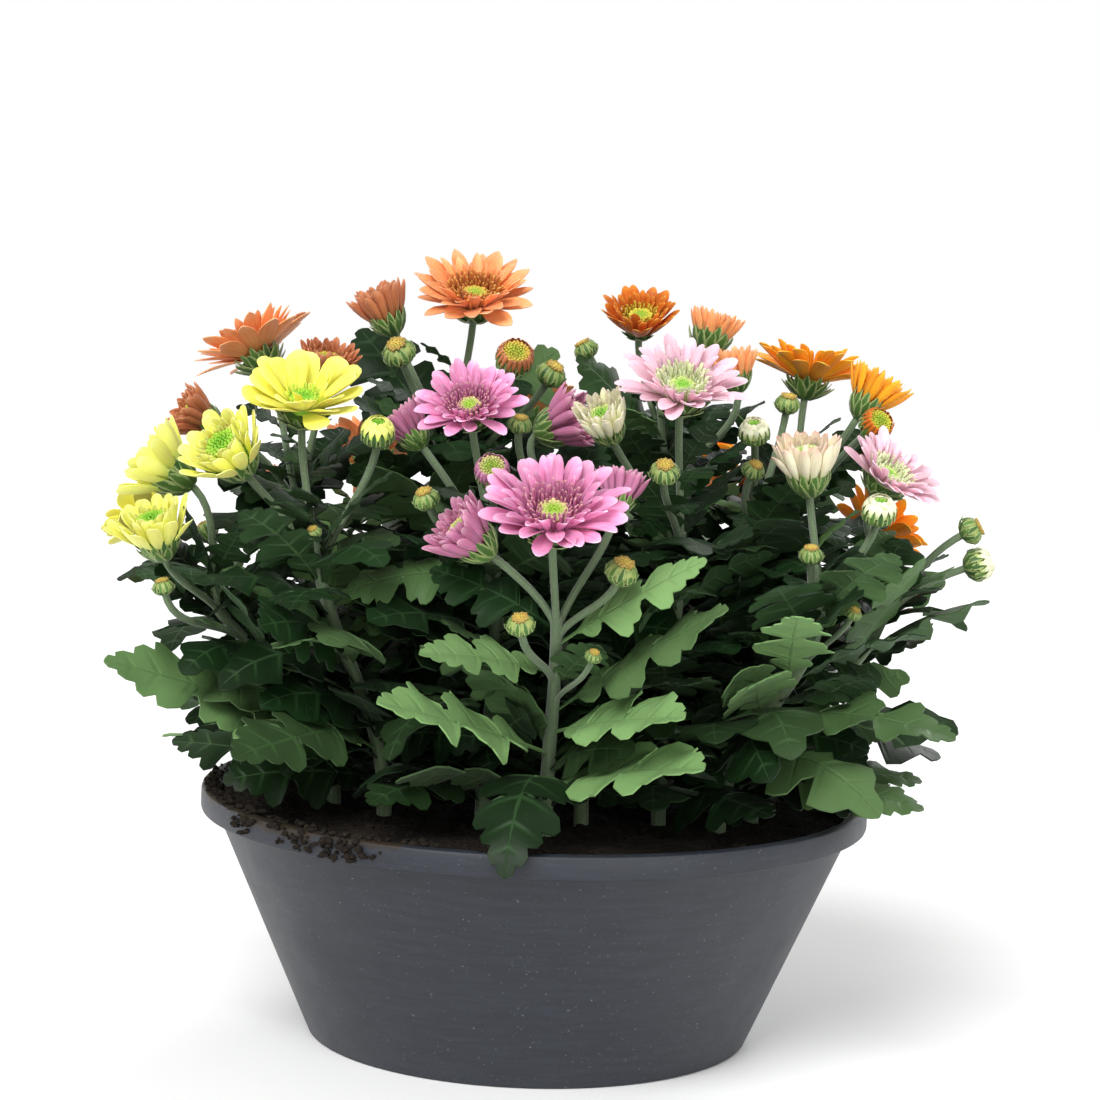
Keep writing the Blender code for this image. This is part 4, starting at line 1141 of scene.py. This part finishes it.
class Paint:
    """A material's nodes. A value given as a socket is linked, and any other is set."""

    def __init__(self, name, roughness, **constants):
        self.material = bpy.data.materials.new(name)
        self.material.use_nodes = True
        self.tree = self.material.node_tree
        self.shader = self.tree.nodes["Principled BSDF"]
        self.shader.inputs["Roughness"].default_value = roughness
        for socket, value in constants.items():
            self.shader.inputs[socket.replace("_", " ")].default_value = value

    def feed(self, socket, value):
        if isinstance(value, bpy.types.NodeSocket):
            self.tree.links.new(value, socket)
        else:
            socket.default_value = value

    def node(self, kind, settings=None, **values):
        """A new node. Its values go by a socket's name, or by its number after an i."""
        made = self.tree.nodes.new(kind)
        for name, value in (settings or {}).items():
            setattr(made, name, value)
        for name, value in values.items():
            numbered = name[0] == "i" and name[1:].isdigit()
            self.feed(made.inputs[int(name[1:]) if numbered else name], value)
        return made

    def link(self, value, socket):
        self.tree.links.new(value, self.shader.inputs[socket])

    def value(self, name):
        return self.node("ShaderNodeAttribute", {"attribute_name": name}).outputs["Fac"]

    def grain(self):
        return self.node("ShaderNodeUVMap", {"uv_map": "grain"}).outputs[0]

    def along_and_across(self):
        """The shares of the way along a blade and across it."""
        split = self.node("ShaderNodeSeparateXYZ", i0=self.grain())
        return split.outputs[0], split.outputs[1]

    def place(self):
        return self.node("ShaderNodeTexCoord").outputs["Object"]

    def maths(self, operation, a, b=0.0, c=0.0, clamp=False):
        return self.node("ShaderNodeMath", {"operation": operation, "use_clamp": clamp},
                         i0=a, i1=b, i2=c).outputs[0]

    def from_midrib(self, across):
        return self.maths("ABSOLUTE", self.maths("SUBTRACT", across, 0.5))

    def between(self, value, start, end):
        """0 at the value start and before it, and 1 at the value end and past it."""
        return self.node("ShaderNodeMapRange", i0=value, i1=start, i2=end).outputs[0]

    def ramp(self, value, *stops):
        """A colour ramp. Each stop is a place and a colour or a grey."""
        made = self.node("ShaderNodeValToRGB", i0=value)
        elements = made.color_ramp.elements
        while len(elements) < len(stops):
            elements.new(0.5)
        for element, (place, colour) in zip(elements, stops):
            element.position = place
            element.color = (*(colour if isinstance(colour, tuple) else (colour,) * 3), 1)
        return made.outputs[0]

    def mix(self, share, a, b, how="MIX"):
        made = self.node("ShaderNodeMix", {"data_type": "RGBA", "blend_type": how}, i0=share)
        for number, value in ((6, a), (7, b)):
            self.feed(made.inputs[number], (*value, 1) if isinstance(value, tuple) else value)
        return made.outputs[2]

    def shaded(self, colour, shade):
        """A colour made darker or lighter by a factor."""
        grey = self.node("ShaderNodeCombineXYZ", i0=shade, i1=shade, i2=shade).outputs[0]
        return self.mix(1.0, colour, grey, "MULTIPLY")

    def noise(self, vector, scale, detail=3.0, roughness=0.55):
        return self.node("ShaderNodeTexNoise", Vector=vector, Scale=scale, Detail=detail,
                         Roughness=roughness).outputs[0]

    def stretched(self, scale):
        """A blade's own coordinates, stretched for streaks along it."""
        return self.node("ShaderNodeMapping", i0=self.grain(), Scale=scale).outputs[0]

    def bump(self, height, strength, distance):
        made = self.node("ShaderNodeBump", Strength=strength, Distance=distance, Height=height)
        self.link(made.outputs[0], "Normal")

    def finish(self, colour):
        self.link(colour, "Base Color")
        return self.material


def named(name, make, *values):
    """The material of this name, made on first use."""
    return bpy.data.materials.get(name) or make(name, *values)


def brighter(factor, colour):
    return tuple(factor * c for c in colour)


def petal_material(name, root, middle, tip):
    """Colour from a petal's root to its tip, with fine darker streaks."""
    paint = Paint(name, 0.5, Sheen_Weight=0.12, Sheen_Roughness=0.4, Specular_IOR_Level=0.3,
                  Subsurface_Weight=0.12, Subsurface_Scale=0.002)
    along, _ = paint.along_and_across()
    colour = paint.ramp(along, (0.02, root), (0.3, middle), (0.62, middle), (1, tip))
    streaks = paint.noise(paint.stretched((1.5, 26, 1)), 1, 2)
    colour = paint.mix(paint.ramp(streaks, (0.38, 0.5), (0.62, 0.0)), colour, middle, "MULTIPLY")
    paint.bump(streaks, 0.35, 0.0003)
    shade = paint.maths("MULTIPLY_ADD", paint.value("tone"), 0.36, 0.78)
    return paint.finish(paint.shaded(colour, shade))


def disc_material(name, middle, edge):
    """Closed florets, from the disc's middle to its edge."""
    paint = Paint(name, 0.55, Specular_IOR_Level=0.3, Subsurface_Weight=0.1, Subsurface_Scale=0.001)
    colour = paint.ramp(paint.value("tone"), (0.35, middle), (0.95, edge))
    speckle = paint.noise(paint.place(), 900, 2)
    paint.bump(speckle, 0.3, 0.0002)
    spots = paint.ramp(speckle, (0.4, 0.4), (0.6, 0.0))
    return paint.finish(paint.mix(spots, colour, (0.5, 0.5, 0.4), "MULTIPLY"))


def leaf_material(name, colour, veins, vein_colour, vein_height, roughness, sheen):
    """A leaf's face with its midrib, side veins and net, with painted shade low in the plants, and
    paler on young leaves.
    """
    paint = Paint(name, roughness, Sheen_Weight=sheen, Sheen_Roughness=0.45, Specular_IOR_Level=0.15)
    along, across = paint.along_and_across()
    from_rib = paint.from_midrib(across)
    rib = paint.ramp(from_rib, (0.0, 1.0), (0.018, 0.75), (0.035, 0.0))
    stops = []
    for vein in SIDE_VEINS:
        stops += [(vein - VEIN_WIDTH, 0.0), (vein, 1.0), (vein + VEIN_WIDTH, 0.0)]
    fading = paint.ramp(from_rib, (0.02, 1.0), (0.44, 0.05))
    side = paint.maths("MULTIPLY", paint.ramp(along, *stops), fading)
    lines = paint.maths("MAXIMUM", rib, side, clamp=True)
    net = paint.noise(paint.stretched((26, 12, 1)), 1, 3)
    cloud = paint.noise(paint.place(), 55, 3)
    shade = paint.maths("ADD", paint.maths("MULTIPLY_ADD", paint.value("tone"), 0.5, 0.55),
                        paint.maths("MULTIPLY", cloud, 0.4))
    height = paint.node("ShaderNodeSeparateXYZ", i0=paint.place()).outputs[2]
    # Painted shade: low in the plants the leaf colour is darkened to 0.55 of itself
    shaded_low = paint.mix(paint.between(height, *DARK_BELOW), brighter(0.55, colour), colour)
    # The young share also carries painted light on the chosen leaves at the front
    base = paint.shaded(paint.mix(paint.value("young"), shaded_low, YOUNG_LEAF), shade)
    vein = paint.mix(paint.value("young"), vein_colour, YOUNG_VEIN)
    base = paint.mix(paint.maths("MULTIPLY", lines, veins), base, vein)
    relief = paint.maths("ADD", paint.maths("MULTIPLY", lines, vein_height),
                         paint.maths("MULTIPLY", net, 0.35))
    paint.bump(relief, 0.6, 0.0006)
    return paint.finish(base)


def stem_material(name, colour):
    """Green with lighter streaks under pale hairs."""
    paint = Paint(name, 0.6, Sheen_Weight=0.35, Sheen_Roughness=0.5, Specular_IOR_Level=0.25)
    streaks = paint.noise(paint.stretched((5, 14, 1)), 1, 3)
    lit = paint.mix(paint.ramp(streaks, (0.35, 0.0), (0.7, 0.55)), colour, brighter(1.9, colour))
    hairs = paint.noise(paint.place(), 1500, 2)
    paint.bump(hairs, 0.25, 0.0002)
    return paint.finish(paint.mix(paint.ramp(hairs, (0.55, 0.0), (0.75, 0.35)), lit, (0.3, 0.38, 0.27)))


def bract_material(name):
    """A green scale with a pale, papery margin."""
    paint = Paint(name, 0.5, Sheen_Weight=0.1, Specular_IOR_Level=0.3)
    _, across = paint.along_and_across()
    speckle = paint.noise(paint.place(), 700, 2)
    edge = paint.ramp(paint.maths("MULTIPLY_ADD", speckle, 0.12, paint.from_midrib(across)),
                      (0.3, 0.0), (0.46, 1.0))
    green = paint.mix(paint.value("tone"), (0.03, 0.085, 0.015), (0.09, 0.19, 0.03))
    paint.bump(speckle, 0.25, 0.0002)
    return paint.finish(paint.mix(edge, green, (0.3, 0.38, 0.14)))


def plain_material(name, colour, other, scale, roughness, bump, distance, **constants):
    """Two colours mixed in soft clouds over the whole piece."""
    paint = Paint(name, roughness, **constants)
    cloud = paint.noise(paint.place(), scale, 5)
    paint.bump(cloud, bump, distance)
    return paint.finish(paint.mix(paint.ramp(cloud, (0.38, 0.0), (0.66, 1.0)), colour, other))


def soil_material(name, colour):
    """Dark crumbly peat with a few brown fibres."""
    paint = Paint(name, 0.95, Specular_IOR_Level=0.2)
    place = paint.place()
    crumbs = paint.node("ShaderNodeTexVoronoi", Vector=place, Scale=420.0).outputs[0]
    cloud = paint.noise(place, 160, 6, 0.7)
    paint.bump(paint.maths("ADD", crumbs, cloud), 1.0, 0.0016)
    fibres = paint.ramp(paint.noise(place, 900, 2), (0.64, 0.0), (0.72, 0.6))
    lit = paint.mix(cloud, colour, brighter(3.2, colour))
    return paint.finish(paint.mix(fibres, lit, (0.07, 0.04, 0.018)))


def pot_material(name, colour):
    """Dark moulded plastic with rubbed scratches, dust, and soil that has spilled down the band."""
    paint = Paint(name, 0.5, Specular_IOR_Level=0.45)
    place = paint.place()
    split = paint.node("ShaderNodeSeparateXYZ", i0=place)
    wide = paint.node("ShaderNodeMapping", i0=place, Scale=(1, 1, 9)).outputs[0]
    rubbed = paint.noise(wide, 60, 6, 0.7)
    dust = paint.noise(place, 900, 3, 0.7)
    cloud = paint.noise(place, 34, 5, 0.65)
    base = paint.mix(paint.ramp(rubbed, (0.42, 0.0), (0.72, 0.6)), colour, brighter(1.9, colour))
    base = paint.mix(paint.ramp(dust, (0.66, 0.0), (0.74, 0.5)), base, (0.32, 0.33, 0.34))
    high = paint.between(split.outputs[2], *SPILLED_OVER)
    left = paint.between(split.outputs[0], *SPILLED_LEFT)
    spill = paint.maths("MULTIPLY", paint.maths("MULTIPLY_ADD", high, 0.7, 0.3), left)
    spill = paint.maths("ADD", paint.maths("MULTIPLY", spill, 0.5), cloud)
    spill = paint.ramp(spill, (0.72, 0.0), (0.84, 1.0))
    base = paint.mix(spill, base, (0.022, 0.014, 0.008))
    paint.link(paint.maths("MULTIPLY_ADD", cloud, 0.3, 0.34), "Roughness")
    paint.bump(paint.maths("ADD", paint.maths("MULTIPLY", rubbed, 0.3), spill), 0.4, 0.0006)
    return paint.finish(base)


def flower_materials(colour, form):
    """Petals, quills and disc florets of one flower colour."""
    flower = FLOWERS[colour]
    return [
        named(f"{colour}_young_petal", petal_material, *flower.young) if form == "young"
        else named(f"{colour}_petal", petal_material, *flower.petal),
        named(f"{colour}_quill", petal_material, *flower.quill),
        named(f"{colour}_floret", disc_material, *flower.disc),
    ]


def foliage_materials():
    """Stems, both faces of leaves, scales, and the body and florets of closed buds."""
    colours = bpy.context.scene.chrysanthemum_foliage
    upper, under = tuple(colours.upper), tuple(colours.under)
    return [
        named("downy_stem", stem_material, tuple(colours.stem)),
        named("leaf_upper", leaf_material, upper, 0.36, (0.05, 0.12, 0.04), -1.0, 0.46, 0.015),
        named("leaf_under", leaf_material, under, 0.45, (0.14, 0.26, 0.1), 1.0, 0.62, 0.05),
        named("green_bract", bract_material),
        named("bud_core", plain_material, (0.3, 0.36, 0.1), (0.14, 0.22, 0.05), 500, 0.6, 0.3, 0.0003),
        named("bud_floret", disc_material, (0.66, 0.5, 0.1), (0.4, 0.27, 0.07)),
    ]


# Operators

class CHRYSANTHEMUM_OT_pot(bpy.types.Operator):
    """Make the bowl pot with its rim band and drainage holes"""
    bl_idname = "chrysanthemum.pot"
    bl_label = "Bowl Pot"

    def execute(self, context):
        settings = context.scene.chrysanthemum_pot
        rim, top = settings.rim_radius / MM, settings.height / MM
        wall = ((0, 0), (75.2, 0), (76.4, 0.5), (78, 4), (109.2, 75.6), (110.2, 76.8), (114.2, 77))
        band = ((rim - 0.25, 77.3), (rim, 78), (rim, top - 1.6), (rim - 0.4, top - 0.5),
                (rim - 1.3, top))
        inside = ((112, top), (111.1, top - 0.3), (108.2, top - 2.6), (107.8, 81), (107.8, 77),
                  (75.8, 4), (74.6, 2.5), (73.4, 2.2), (0, 2.2))
        bm = spun((*wall, *band, *inside), settings.sides)
        face_outwards(bm)
        drains = bmesh.new()
        for k in range(DRAINS):
            hole = Matrix.Translation(around(DRAIN_CIRCLE, math.tau * (k + 0.5) / DRAINS, 1))
            bmesh.ops.create_cone(drains, cap_ends=True, segments=24, radius1=DRAIN_RADIUS,
                                  radius2=DRAIN_RADIUS, depth=DRAIN_DEPTH, matrix=hole)
        pot, cutter = placed("pot_bowl", bm), placed("drain_cutter", drains)
        cut = pot.modifiers.new("drains", "BOOLEAN")
        cut.operation = "DIFFERENCE"
        cut.object = cutter
        mesh = bpy.data.meshes.new_from_object(pot.evaluated_get(context.evaluated_depsgraph_get()))
        pot.modifiers.remove(cut)
        pot.data = mesh
        bpy.data.objects.remove(cutter)
        for face in mesh.polygons:
            face.use_smooth = True
        mesh.set_sharp_from_angle(angle=math.radians(32))
        mesh.materials.clear()
        mesh.materials.append(named("slate_plastic", pot_material, tuple(settings.colour)))
        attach(pot, "root")
        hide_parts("pot")
        return {"FINISHED"}


class CHRYSANTHEMUM_OT_soil(bpy.types.Operator):
    """Make the heaped soil and its loose crumbs"""
    bl_idname = "chrysanthemum.soil"
    bl_label = "Potting Soil"

    def execute(self, context):
        settings = context.scene.chrysanthemum_soil
        # The top is a low cone at first, so that its points are known by their height
        cone = [(SOIL_RADIUS * math.sqrt(1 - k / SOIL_RINGS), SOIL_CONE + 0.1 * k)
                for k in range(SOIL_RINGS)]
        base = [(0, 2.6), (73, 2.6), (75, 4.4), (107, 77)]
        bm = spun([*base, *cone, (0, SOIL_CONE + 4)], SOIL_SIDES)
        for v in bm.verts:
            if v.co.z > SOIL_CONE - 0.1:
                rough = noise.fractal(Vector((v.co.x, v.co.y, 0)) / SOIL_GRAIN_WIDTH, 0.8, 2, 4)
                v.co.z = soil_height(v.co.x, v.co.y) + SOIL_GRAIN * rough
        face_outwards(bm)
        for face in bm.faces:
            face.smooth = True
        heap = placed("soil_heap", bm)
        earth = named("peat", soil_material, tuple(settings.colour))
        heap.data.materials.append(earth)
        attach(heap, "root")
        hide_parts("soil")
        self.crumbs(settings.crumbs, earth)
        return {"FINISHED"}

    def crumbs(self, count, earth):
        """Loose crumbs, each squashed and dented in its own way."""
        bm = bmesh.new()
        bmesh.ops.create_icosphere(bm, subdivisions=1, radius=1)
        bm.loops.layers.uv.new("grain")
        crumb = finished_shape("crumb", bm)
        piece = Piece()
        draw = random.Random("crumbs")
        for k in range(count):
            at, size = self.crumb_place(k, draw)
            squash = Vector((draw.uniform(0.7, 1.3), draw.uniform(0.7, 1.3), draw.uniform(0.5, 0.9)))

            def move(point, at=at, size=size, squash=squash):
                dent = 1 + 0.35 * noise.noise(point * 1.7 + at)
                return at + Vector(c * s for c, s in zip(point, squash)) * size * dent

            piece.add(crumb, move, 0.5)
        piece.finish("soil_crumbs", [earth], "soil")

    def crumb_place(self, k, draw):
        """A crumb's place and size. One in five has spilled down the rim. Of the others one in three
        lies on top of the rim at the left, and the rest lie on the soil."""
        if k % 5 == 4:
            turn = math.radians(draw.choice(SPILLS) + draw.gauss(0, SPILL_SPREAD))
            size = draw.uniform(0.5, 1.7)
            height = draw.uniform(*SPILL_HEIGHTS)
            return around(RIM_RADIUS + (-1.5 if height > RIM_TOP else 0.3 * size), turn, height), size
        if k % 3:
            radius, turn = STREWN_RADIUS * math.sqrt(draw.random()), draw.uniform(0, math.tau)
            size = draw.uniform(0.5, 1.9)
            at = around(radius, turn, 0)
            at.z = soil_height(at.x, at.y) + 0.2 * size
            return at, size
        middle, spread = RIM_CRUMBS
        turn = math.radians(draw.gauss(middle, spread))
        size = draw.uniform(0.4, 1.7)
        return around(draw.uniform(*RIM_CRUMB_RADII), turn, RIM_CRUMB_HEIGHT + 0.35 * size), size


class CHRYSANTHEMUM_OT_stems(bpy.types.Operator):
    """Grow the stems with their leaves, flower stalks, green cups and closed buds"""
    bl_idname = "chrysanthemum.stems"
    bl_label = "Leafy Stems"

    def execute(self, context):
        spacing = context.scene.chrysanthemum_foliage.inner_spacing
        materials = foliage_materials()
        solids = {name: surface(name) for name in frame["nodes"]}
        plants = [self.plant(stem, solids[stem.name].tree, spacing) for stem in STEMS]
        taken = list(solids.values())
        for turn in range(max(len(plant.wanted) for plant in plants)):
            for plant in plants:
                if turn < len(plant.wanted):
                    self.add_inner_leaf(plant, plant.wanted[turn], taken)
        for stem, piece, _, _ in plants:
            piece.finish(f"{stem.name}_leafy", materials, "foliage", [stem.name])
        return {"FINISHED"}

    def plant(self, stem, body, spacing):
        """A stem with its stalks and the leaves of its solid, and the leaves that are wanted between
        them."""
        line, fine = stem_line(stem, STEM_POINTS), stem_line(stem, TUBE_STEPS)
        draw = random.Random(f"leaves {stem.name}")
        piece = Piece()
        add_tube(piece, fine, STEM_FOOT_RADIUS, STEM_TOP_RADIUS, 0.5)
        for head in (*stem.heads, *SMALL_BUDS.get(stem.name, ())):
            self.add_stalk(piece, head, fine, draw)
        looks = CHOSEN_LOOKS.get(stem.name, ())
        for k, planned in enumerate(planned_leaves(stem, line)):
            leaf = next((choice for choice in choices(planned) if stands_in(body, choice, line)), None)
            if not leaf:
                continue
            if (stem.name, k) in MOVED_LEAVES:
                leaf = towards(MOVED_LEAVES[stem.name, k], line)
            chosen = k < len(looks)
            # For chosen leaves the young share is set leaf by leaf, partly as painted light and painted
            # shade
            young, fold, roll = looks[k] if chosen else (draw.random() ** YOUNG_POWER, None, 1)
            self.add_leaf(piece, leaf._replace(roll=leaf.roll * roll), line, fine, draw,
                          "chrysanthemum_leaf", young, SLIM_LEAF if chosen else 1, fold)
        wanted = [Wanted(towards(aimed, line), line, fine, "chrysanthemum_leaf")
                  for aimed in MORE_LEAVES.get(stem.name, ())]
        wanted += [Wanted(leaf, line, fine, "inner_leaf") for leaf in inner_leaves(stem, line, spacing)]
        if stem.name not in LEAFY_UP_TO:
            for head in stem.heads:
                stalk = stalk_line(head, fine, TUBE_STEPS + 1)
                stalk = [stalk[0], *stalk]
                wanted += [Wanted(leaf, stalk, stalk, "inner_leaf")
                           for leaf in stalk_leaves(head, stalk)]
        return Plant(stem, piece, wanted, draw)

    def add_leaf(self, piece, leaf, line, fine, draw, shape, young, slim=1.0, fold=None):
        shift = at_share(fine, leaf.up)[0] - at_share(line, leaf.up)[0]
        move = leaf_mover(leaf, leaf_frame(leaf, line), shift, draw, slim, fold)
        piece.add(shapes()[shape], move, draw.random(), young)

    def add_inner_leaf(self, plant, wanted, taken):
        """Adds a wanted leaf to its plant if one of its choices keeps clear of all that is there."""
        leaf, line, fine, shape = wanted
        for choice in choices(leaf, INNER_SHORTENED):
            foot = min(LEAF_FOOT, LEAF_FOOT_SHARE * choice.length)
            points, faces = blade_outline(choice, line, foot)
            if not is_free(points):
                continue
            blade = obstacle(points, faces)
            if not any(touch(blade, other) for other in taken):
                taken.append(blade)
                self.add_leaf(plant.piece, choice, line, fine, plant.draw, shape,
                              plant.draw.random() ** YOUNG_POWER)
                return

    def add_stalk(self, piece, head, fine, draw):
        """A head's stalk and green cup, and the florets of a closed bud."""
        thick = min(STALK_RADIUS, STALK_SHARE * head.width)
        add_tube(piece, stalk_line(head, fine, TUBE_STEPS + 1), thick, thick * STALK_FLARE, 0.5)
        closed = head.kind == "bud"
        wide, deep, rise = BUD_BODY if closed else CUP_BODY
        add_ball(piece, head, "bud_core" if closed else "cup", wide * CUP_RADIUS[head.kind],
                 deep * CUP_DEPTH[head.kind], rise)
        if closed:
            add_disc(piece, head, "bud", "bud_floret", draw)
        longer = LONG_CUPS.get(head.name, 1)
        add_rows(piece, head, [row._replace(length=row.length * longer) for row in CUP_ROWS[head.kind]],
                 ("scale",), draw, 0.4)


class CHRYSANTHEMUM_OT_blooms(bpy.types.Operator):
    """Make the petals and discs of the open blooms, half-open buds and buds that show colour"""
    bl_idname = "chrysanthemum.blooms"
    bl_label = "Flower Heads"

    def execute(self, context):
        for stem in STEMS:
            for head in stem.heads:
                if head.kind == "open":
                    self.open_bloom(head, stem.colour)
                elif head.kind == "half":
                    self.half_open(head, stem.colour)
                elif head.kind == "ring":
                    self.ring_bud(head, stem.colour)
        return {"FINISHED"}

    def open_bloom(self, head, colour):
        """Petals and quills, and an eye that is a piece of its own where the solids have one."""
        draw = random.Random(f"bloom {head.name}")
        form = "young" if head.width < YOUNG_WIDTH else "open"
        rows = YOUNG_ROWS if form == "young" else OPEN_ROWS[colour]
        petal = OPEN_PETALS.get(colour, "round_petal")
        piece = Piece()
        add_rows(piece, head, rows, (*[petal] * PETAL_RINGS, "quill"), draw)
        has_eye = f"{head.name}_eye" in frame["nodes"]
        eye = Piece() if has_eye else piece
        disc = DISCS[form]
        add_disc(eye, head, form, "floret", draw)
        add_ball(eye, head, "head_core", disc.radius * 1.1, 0.02, disc.height * 0.82, 0.6)
        materials = flower_materials(*PAINTED_AS.get(head.name, (colour, form)))
        piece.finish(f"{head.name}_petals", materials, f"petals_{colour}", [head.name])
        if has_eye:
            eye.finish(f"{head.name}_disc", materials, "eyes", [f"{head.name}_eye"])

    def half_open(self, head, colour):
        """A cup of petals round a raised disc."""
        draw = random.Random(f"half {head.name}")
        rows = YELLOW_HALF_ROWS if colour == "yellow" else HALF_ROWS
        piece = Piece()
        add_rows(piece, head, rows, (HALF_PETALS.get(colour, "round_petal"),), draw, 0.8)
        add_disc(piece, head, "half", "floret", draw)
        add_ball(piece, head, "head_core", 0.22, 0.02, 0.39, 0.6)
        materials = flower_materials(*PAINTED_AS.get(head.name, (colour, "young")))
        piece.finish(f"{head.name}_petals", materials, f"petals_{colour}", [head.name])

    def ring_bud(self, head, colour):
        """A ring of short petals round the florets of a bud."""
        draw = random.Random(f"ring {head.name}")
        narrow = colour in NARROW_RINGS
        piece = Piece()
        add_rows(piece, head, CLOSED_RING if narrow else OPEN_RING, ("broad_petal",), draw, 0.35)
        add_ball(piece, head, "head_core", 0.38, 0.1, 0.24 if narrow else 0.2, 0.9)
        add_disc(piece, head, "ring" if narrow else "open_ring", "floret", draw)
        piece.finish(f"{head.name}_petals", flower_materials(colour, "young"), f"petals_{colour}")


class CHRYSANTHEMUM_OT_stage(bpy.types.Operator):
    """Set the floor, the studio lights and the camera"""
    bl_idname = "chrysanthemum.stage"
    bl_label = "Stage"

    def execute(self, context):
        bm = bmesh.new()
        bmesh.ops.create_grid(bm, x_segments=1, y_segments=1, size=FLOOR_REACH)
        floor = linked("floor", finished_shape("floor", bm))
        floor.data.materials.append(named(
            "pale_floor", plain_material, (0.86, 0.86, 0.86), (0.88, 0.88, 0.88), 3, 0.7, 0.0, 0.001))
        for light in LIGHTS:
            self.light(*light)
        self.sky(context.scene)
        self.camera(context.scene, context.scene.chrysanthemum_stage)
        return {"FINISHED"}

    def light(self, name, kind, place, power):
        data = bpy.data.lights.new(name, kind)
        if kind == "SUN":
            data.angle = math.radians(SUN_ANGLE)
        else:
            data.shape = "DISK"
            data.size = LAMP_WIDTH
        data.energy = power
        light = linked(name, data)
        light.location = place
        light.rotation_euler = (AIM - Vector(place)).to_track_quat("-Z", "Y").to_euler()

    def sky(self, scene):
        """White, and dimmer overhead."""
        world = bpy.data.worlds.new("studio")
        world.use_nodes = True
        nodes, links = world.node_tree.nodes, world.node_tree.links
        split = nodes.new("ShaderNodeSeparateXYZ")
        links.new(nodes.new("ShaderNodeTexCoord").outputs["Generated"], split.inputs[0])
        dim = nodes.new("ShaderNodeMapRange")
        for socket, value in enumerate(SKY, 1):
            dim.inputs[socket].default_value = value
        links.new(split.outputs[2], dim.inputs[0])
        links.new(dim.outputs[0], nodes["Background"].inputs[1])
        nodes["Background"].inputs[0].default_value = (1, 1, 1, 1)
        scene.world = world
        scene.view_settings.view_transform = "Standard"

    def camera(self, scene, settings):
        data = bpy.data.cameras.new("camera")
        data.lens = settings.lens
        data.sensor_width = 36
        camera = linked("camera", data)
        back = Vector((0, -math.cos(settings.elevation), math.sin(settings.elevation)))
        camera.location = AIM + back * settings.distance
        turn = (-back).to_track_quat("-Z", "Y").to_matrix() @ Matrix.Rotation(settings.tilt, 3, "Z")
        camera.rotation_euler = turn.to_euler()
        scene.camera = camera


OPERATORS = (
    CHRYSANTHEMUM_OT_pot, CHRYSANTHEMUM_OT_soil, CHRYSANTHEMUM_OT_stems, CHRYSANTHEMUM_OT_blooms,
    CHRYSANTHEMUM_OT_stage,
)
SETTINGS = {
    "chrysanthemum_pot": PotSettings, "chrysanthemum_soil": SoilSettings,
    "chrysanthemum_foliage": FoliageSettings, "chrysanthemum_stage": StageSettings,
}


class CHRYSANTHEMUM_PT_panel(bpy.types.Panel):
    """Lists the operators in the sidebar"""
    bl_idname = "CHRYSANTHEMUM_PT_panel"
    bl_label = "Pot Chrysanthemum"
    bl_space_type = "VIEW_3D"
    bl_region_type = "UI"
    bl_category = "Chrysanthemum"

    def draw(self, context):
        for operator in OPERATORS:
            self.layout.operator(operator.bl_idname)
        for name, group in SETTINGS.items():
            box = self.layout.box()
            for key in group.__annotations__:
                box.prop(getattr(context.scene, name), key)


def register():
    for made in (*SETTINGS.values(), *OPERATORS, CHRYSANTHEMUM_PT_panel):
        bpy.utils.register_class(made)
    for name, group in SETTINGS.items():
        setattr(bpy.types.Scene, name, PointerProperty(type=group))


def unregister():
    for name in SETTINGS:
        delattr(bpy.types.Scene, name)
    for made in (CHRYSANTHEMUM_PT_panel, *reversed(OPERATORS), *SETTINGS.values()):
        bpy.utils.unregister_class(made)


def main():
    register()
    for operator in OPERATORS:
        group, name = operator.bl_idname.split(".")
        getattr(getattr(bpy.ops, group), name)()
    for shape in [mesh for mesh in bpy.data.meshes if not mesh.users]:
        bpy.data.meshes.remove(shape)


if __name__ == "__main__":
    main()
